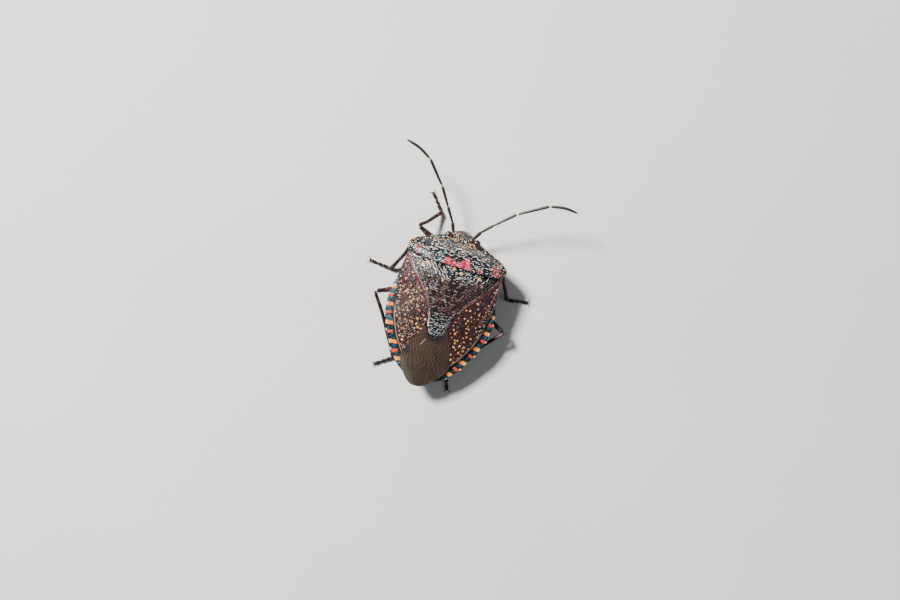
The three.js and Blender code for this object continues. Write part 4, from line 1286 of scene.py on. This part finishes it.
def antenna(side):
    """Antenna: five pieces, each a little thicker towards its far end, pale at the base of the
    last two."""
    joints = [np.array(p, float) for p in FEELERS[side]]
    joints[0] = joints[0] + 0.42 * (joints[0] - joints[1])
    for k in range(5):
        last = k == 4
        corners = [joints[k], np.array(FEELER_BENDS[side]), joints[k + 1]] if last else joints[k : k + 2]
        path = smooth_path(corners, 30 if last else 40)
        way = np.linspace(0, 1, len(path))
        radius = tip_radius(way) if last else feeler_radius(way) * (1.25 if k == 0 else 1)
        points, faces = tube(path, radius, 18)
        share = np.append(np.repeat(way, 18), (0, 1))
        ring = 0.85 * ease(0.10, 0.06, share) * (k >= 3)
        mesh_piece(f"antenna_{side}_{k + 1}", points, faces, "antenna", {"ring": ring})


BEAK_PATH = [(0, -11.82, 1.62), (0, -10.9, 1.52), (0, -9.4, 1.42), (0, -7.6, 1.08), (0, -6.2, 0.9)]
beak_radius = curve([
    (0, 0.04), (0.03, 0.22), (0.22, 0.26), (0.25, 0.2), (0.28, 0.24), (0.5, 0.22), (0.53, 0.17),
    (0.56, 0.2), (0.8, 0.17), (0.83, 0.13), (0.86, 0.15), (0.97, 0.1), (1, 0.02),
])


def face_parts():
    """Eyes, the two small simple eyes behind them, and the beak under the head."""
    for side, sign in (("left", 1), ("right", -1)):
        mesh_piece("eye_" + side, *ball((1.64 * sign, -11.13, 3.08), (0.44, 0.42, 0.43)), "eye")
    simple = joined([ball((0.68 * sign, -10.92, 3.62), (0.1, 0.1, 0.1), 12, 16) for sign in (1, -1)])
    mesh_piece("ocelli", *simple, "eye", stands_for_node=False)
    path = smooth_path(BEAK_PATH, 16)
    points, faces = tube(path, beak_radius(np.linspace(0, 1, len(path))), 18)
    tone = 0.5 * patches(0.4, 0.7, points[:, 1], points[:, 2], 0.4, 260)
    mesh_piece("rostrum", points, faces, "limb", {"streak": tone})


# The view: degrees that the line to the camera leans from the vertical towards +X and +Y, and
# that the picture is turned, and the camera's place.
LEAN_X, LEAN_Y, PICTURE_TURN = 5, 4, 17.3
CAMERA_PLACE = (7.778, 2.493, 99.065)


def pale_floor():
    """Plain pale floor."""
    bpy.ops.mesh.primitive_plane_add(size=1.6, location=(0, 0, 0))
    floor = bpy.context.object
    floor.name = "floor"
    made, tree, shader = material("pale floor", Roughness=0.75)
    place = add(tree, "ShaderNodeTexCoord")
    noise = add(tree, "ShaderNodeTexNoise", inputs={"Scale": 30.0, "Detail": 3.0})
    tree.links.new(place.outputs["Object"], noise.inputs["Vector"])
    share = scale_range(tree, noise.outputs["Fac"], 0.35, 0.65)
    colour = blend_colour(tree, share, (0.66, 0.66, 0.645), (0.69, 0.69, 0.675))
    tree.links.new(colour, shader.inputs["Base Color"])
    floor.data.materials.append(made)


def view_camera():
    """The camera. Gives the view's axes: right, up and towards the camera."""
    turn = math.radians(PICTURE_TURN)
    towards = Vector((math.sin(math.radians(LEAN_X)), math.sin(math.radians(LEAN_Y)), 0))
    towards.z = math.sqrt(1 - towards.length_squared)
    up = Vector((math.sin(turn), -math.cos(turn), 0))
    up = (up - up.dot(towards) * towards).normalized()
    right = up.cross(towards)
    lens = bpy.data.cameras.new("camera")
    lens.lens = 35
    lens.sensor_width = 36
    lens.clip_start = 0.002
    lens.clip_end = 10
    camera = bpy.data.objects.new("camera", lens)
    bpy.context.scene.collection.objects.link(camera)
    place = Vector(TIP.tolist()) + Vector(CAMERA_PLACE) * MM
    camera.matrix_world = Matrix.Translation(place) @ Matrix((right, up, towards)).transposed().to_4x4()
    bpy.context.scene.camera = camera
    return right, up, towards


def lamp(axes, name, towards, distance, size, power, colour):
    """Square lamp that looks at the bug from a direction given in the view's own axes."""
    light = bpy.data.lights.new(name, "AREA")
    light.size = size
    light.energy = power
    light.color = colour
    made = bpy.data.objects.new(name, light)
    right, up, to_camera = axes
    away = (right * towards[0] + up * towards[1] + to_camera * towards[2]).normalized()
    body_middle = Vector((0, 0, 0.003))
    place = Matrix.Translation(body_middle + away * distance)
    made.matrix_world = place @ away.to_track_quat("Z", "Y").to_matrix().to_4x4()
    bpy.context.scene.collection.objects.link(made)


def studio():
    """Floor, camera, a small strong lamp at the upper left of the view, a large weak one at the
    right, and a dim pale surrounding."""
    pale_floor()
    axes = view_camera()
    lamp(axes, "key", (-0.62, 0.62, 0.95), distance=0.45, size=0.09, power=7.0, colour=(1.0, 0.97, 0.93))
    lamp(axes, "fill", (0.9, -0.35, 0.7), distance=0.5, size=0.4, power=0.35, colour=(0.93, 0.97, 1.0))
    world = bpy.data.worlds.new("studio")
    world.use_nodes = True
    background = world.node_tree.nodes["Background"]
    background.inputs["Color"].default_value = (0.86, 0.90, 0.95, 1)
    background.inputs["Strength"].default_value = 0.15
    bpy.context.scene.world = world


pronotum()
scutellum()
for wing_side, wing_sign in (("left", 1), ("right", -1)):
    corium(wing_side, wing_sign)
    antenna(wing_side)
left_membrane()
right_membrane()
head()
face_parts()
thorax()
abdomen()
for leg_number, leg_name in enumerate(LEGS):
    leg(leg_name, leg_number)
studio()
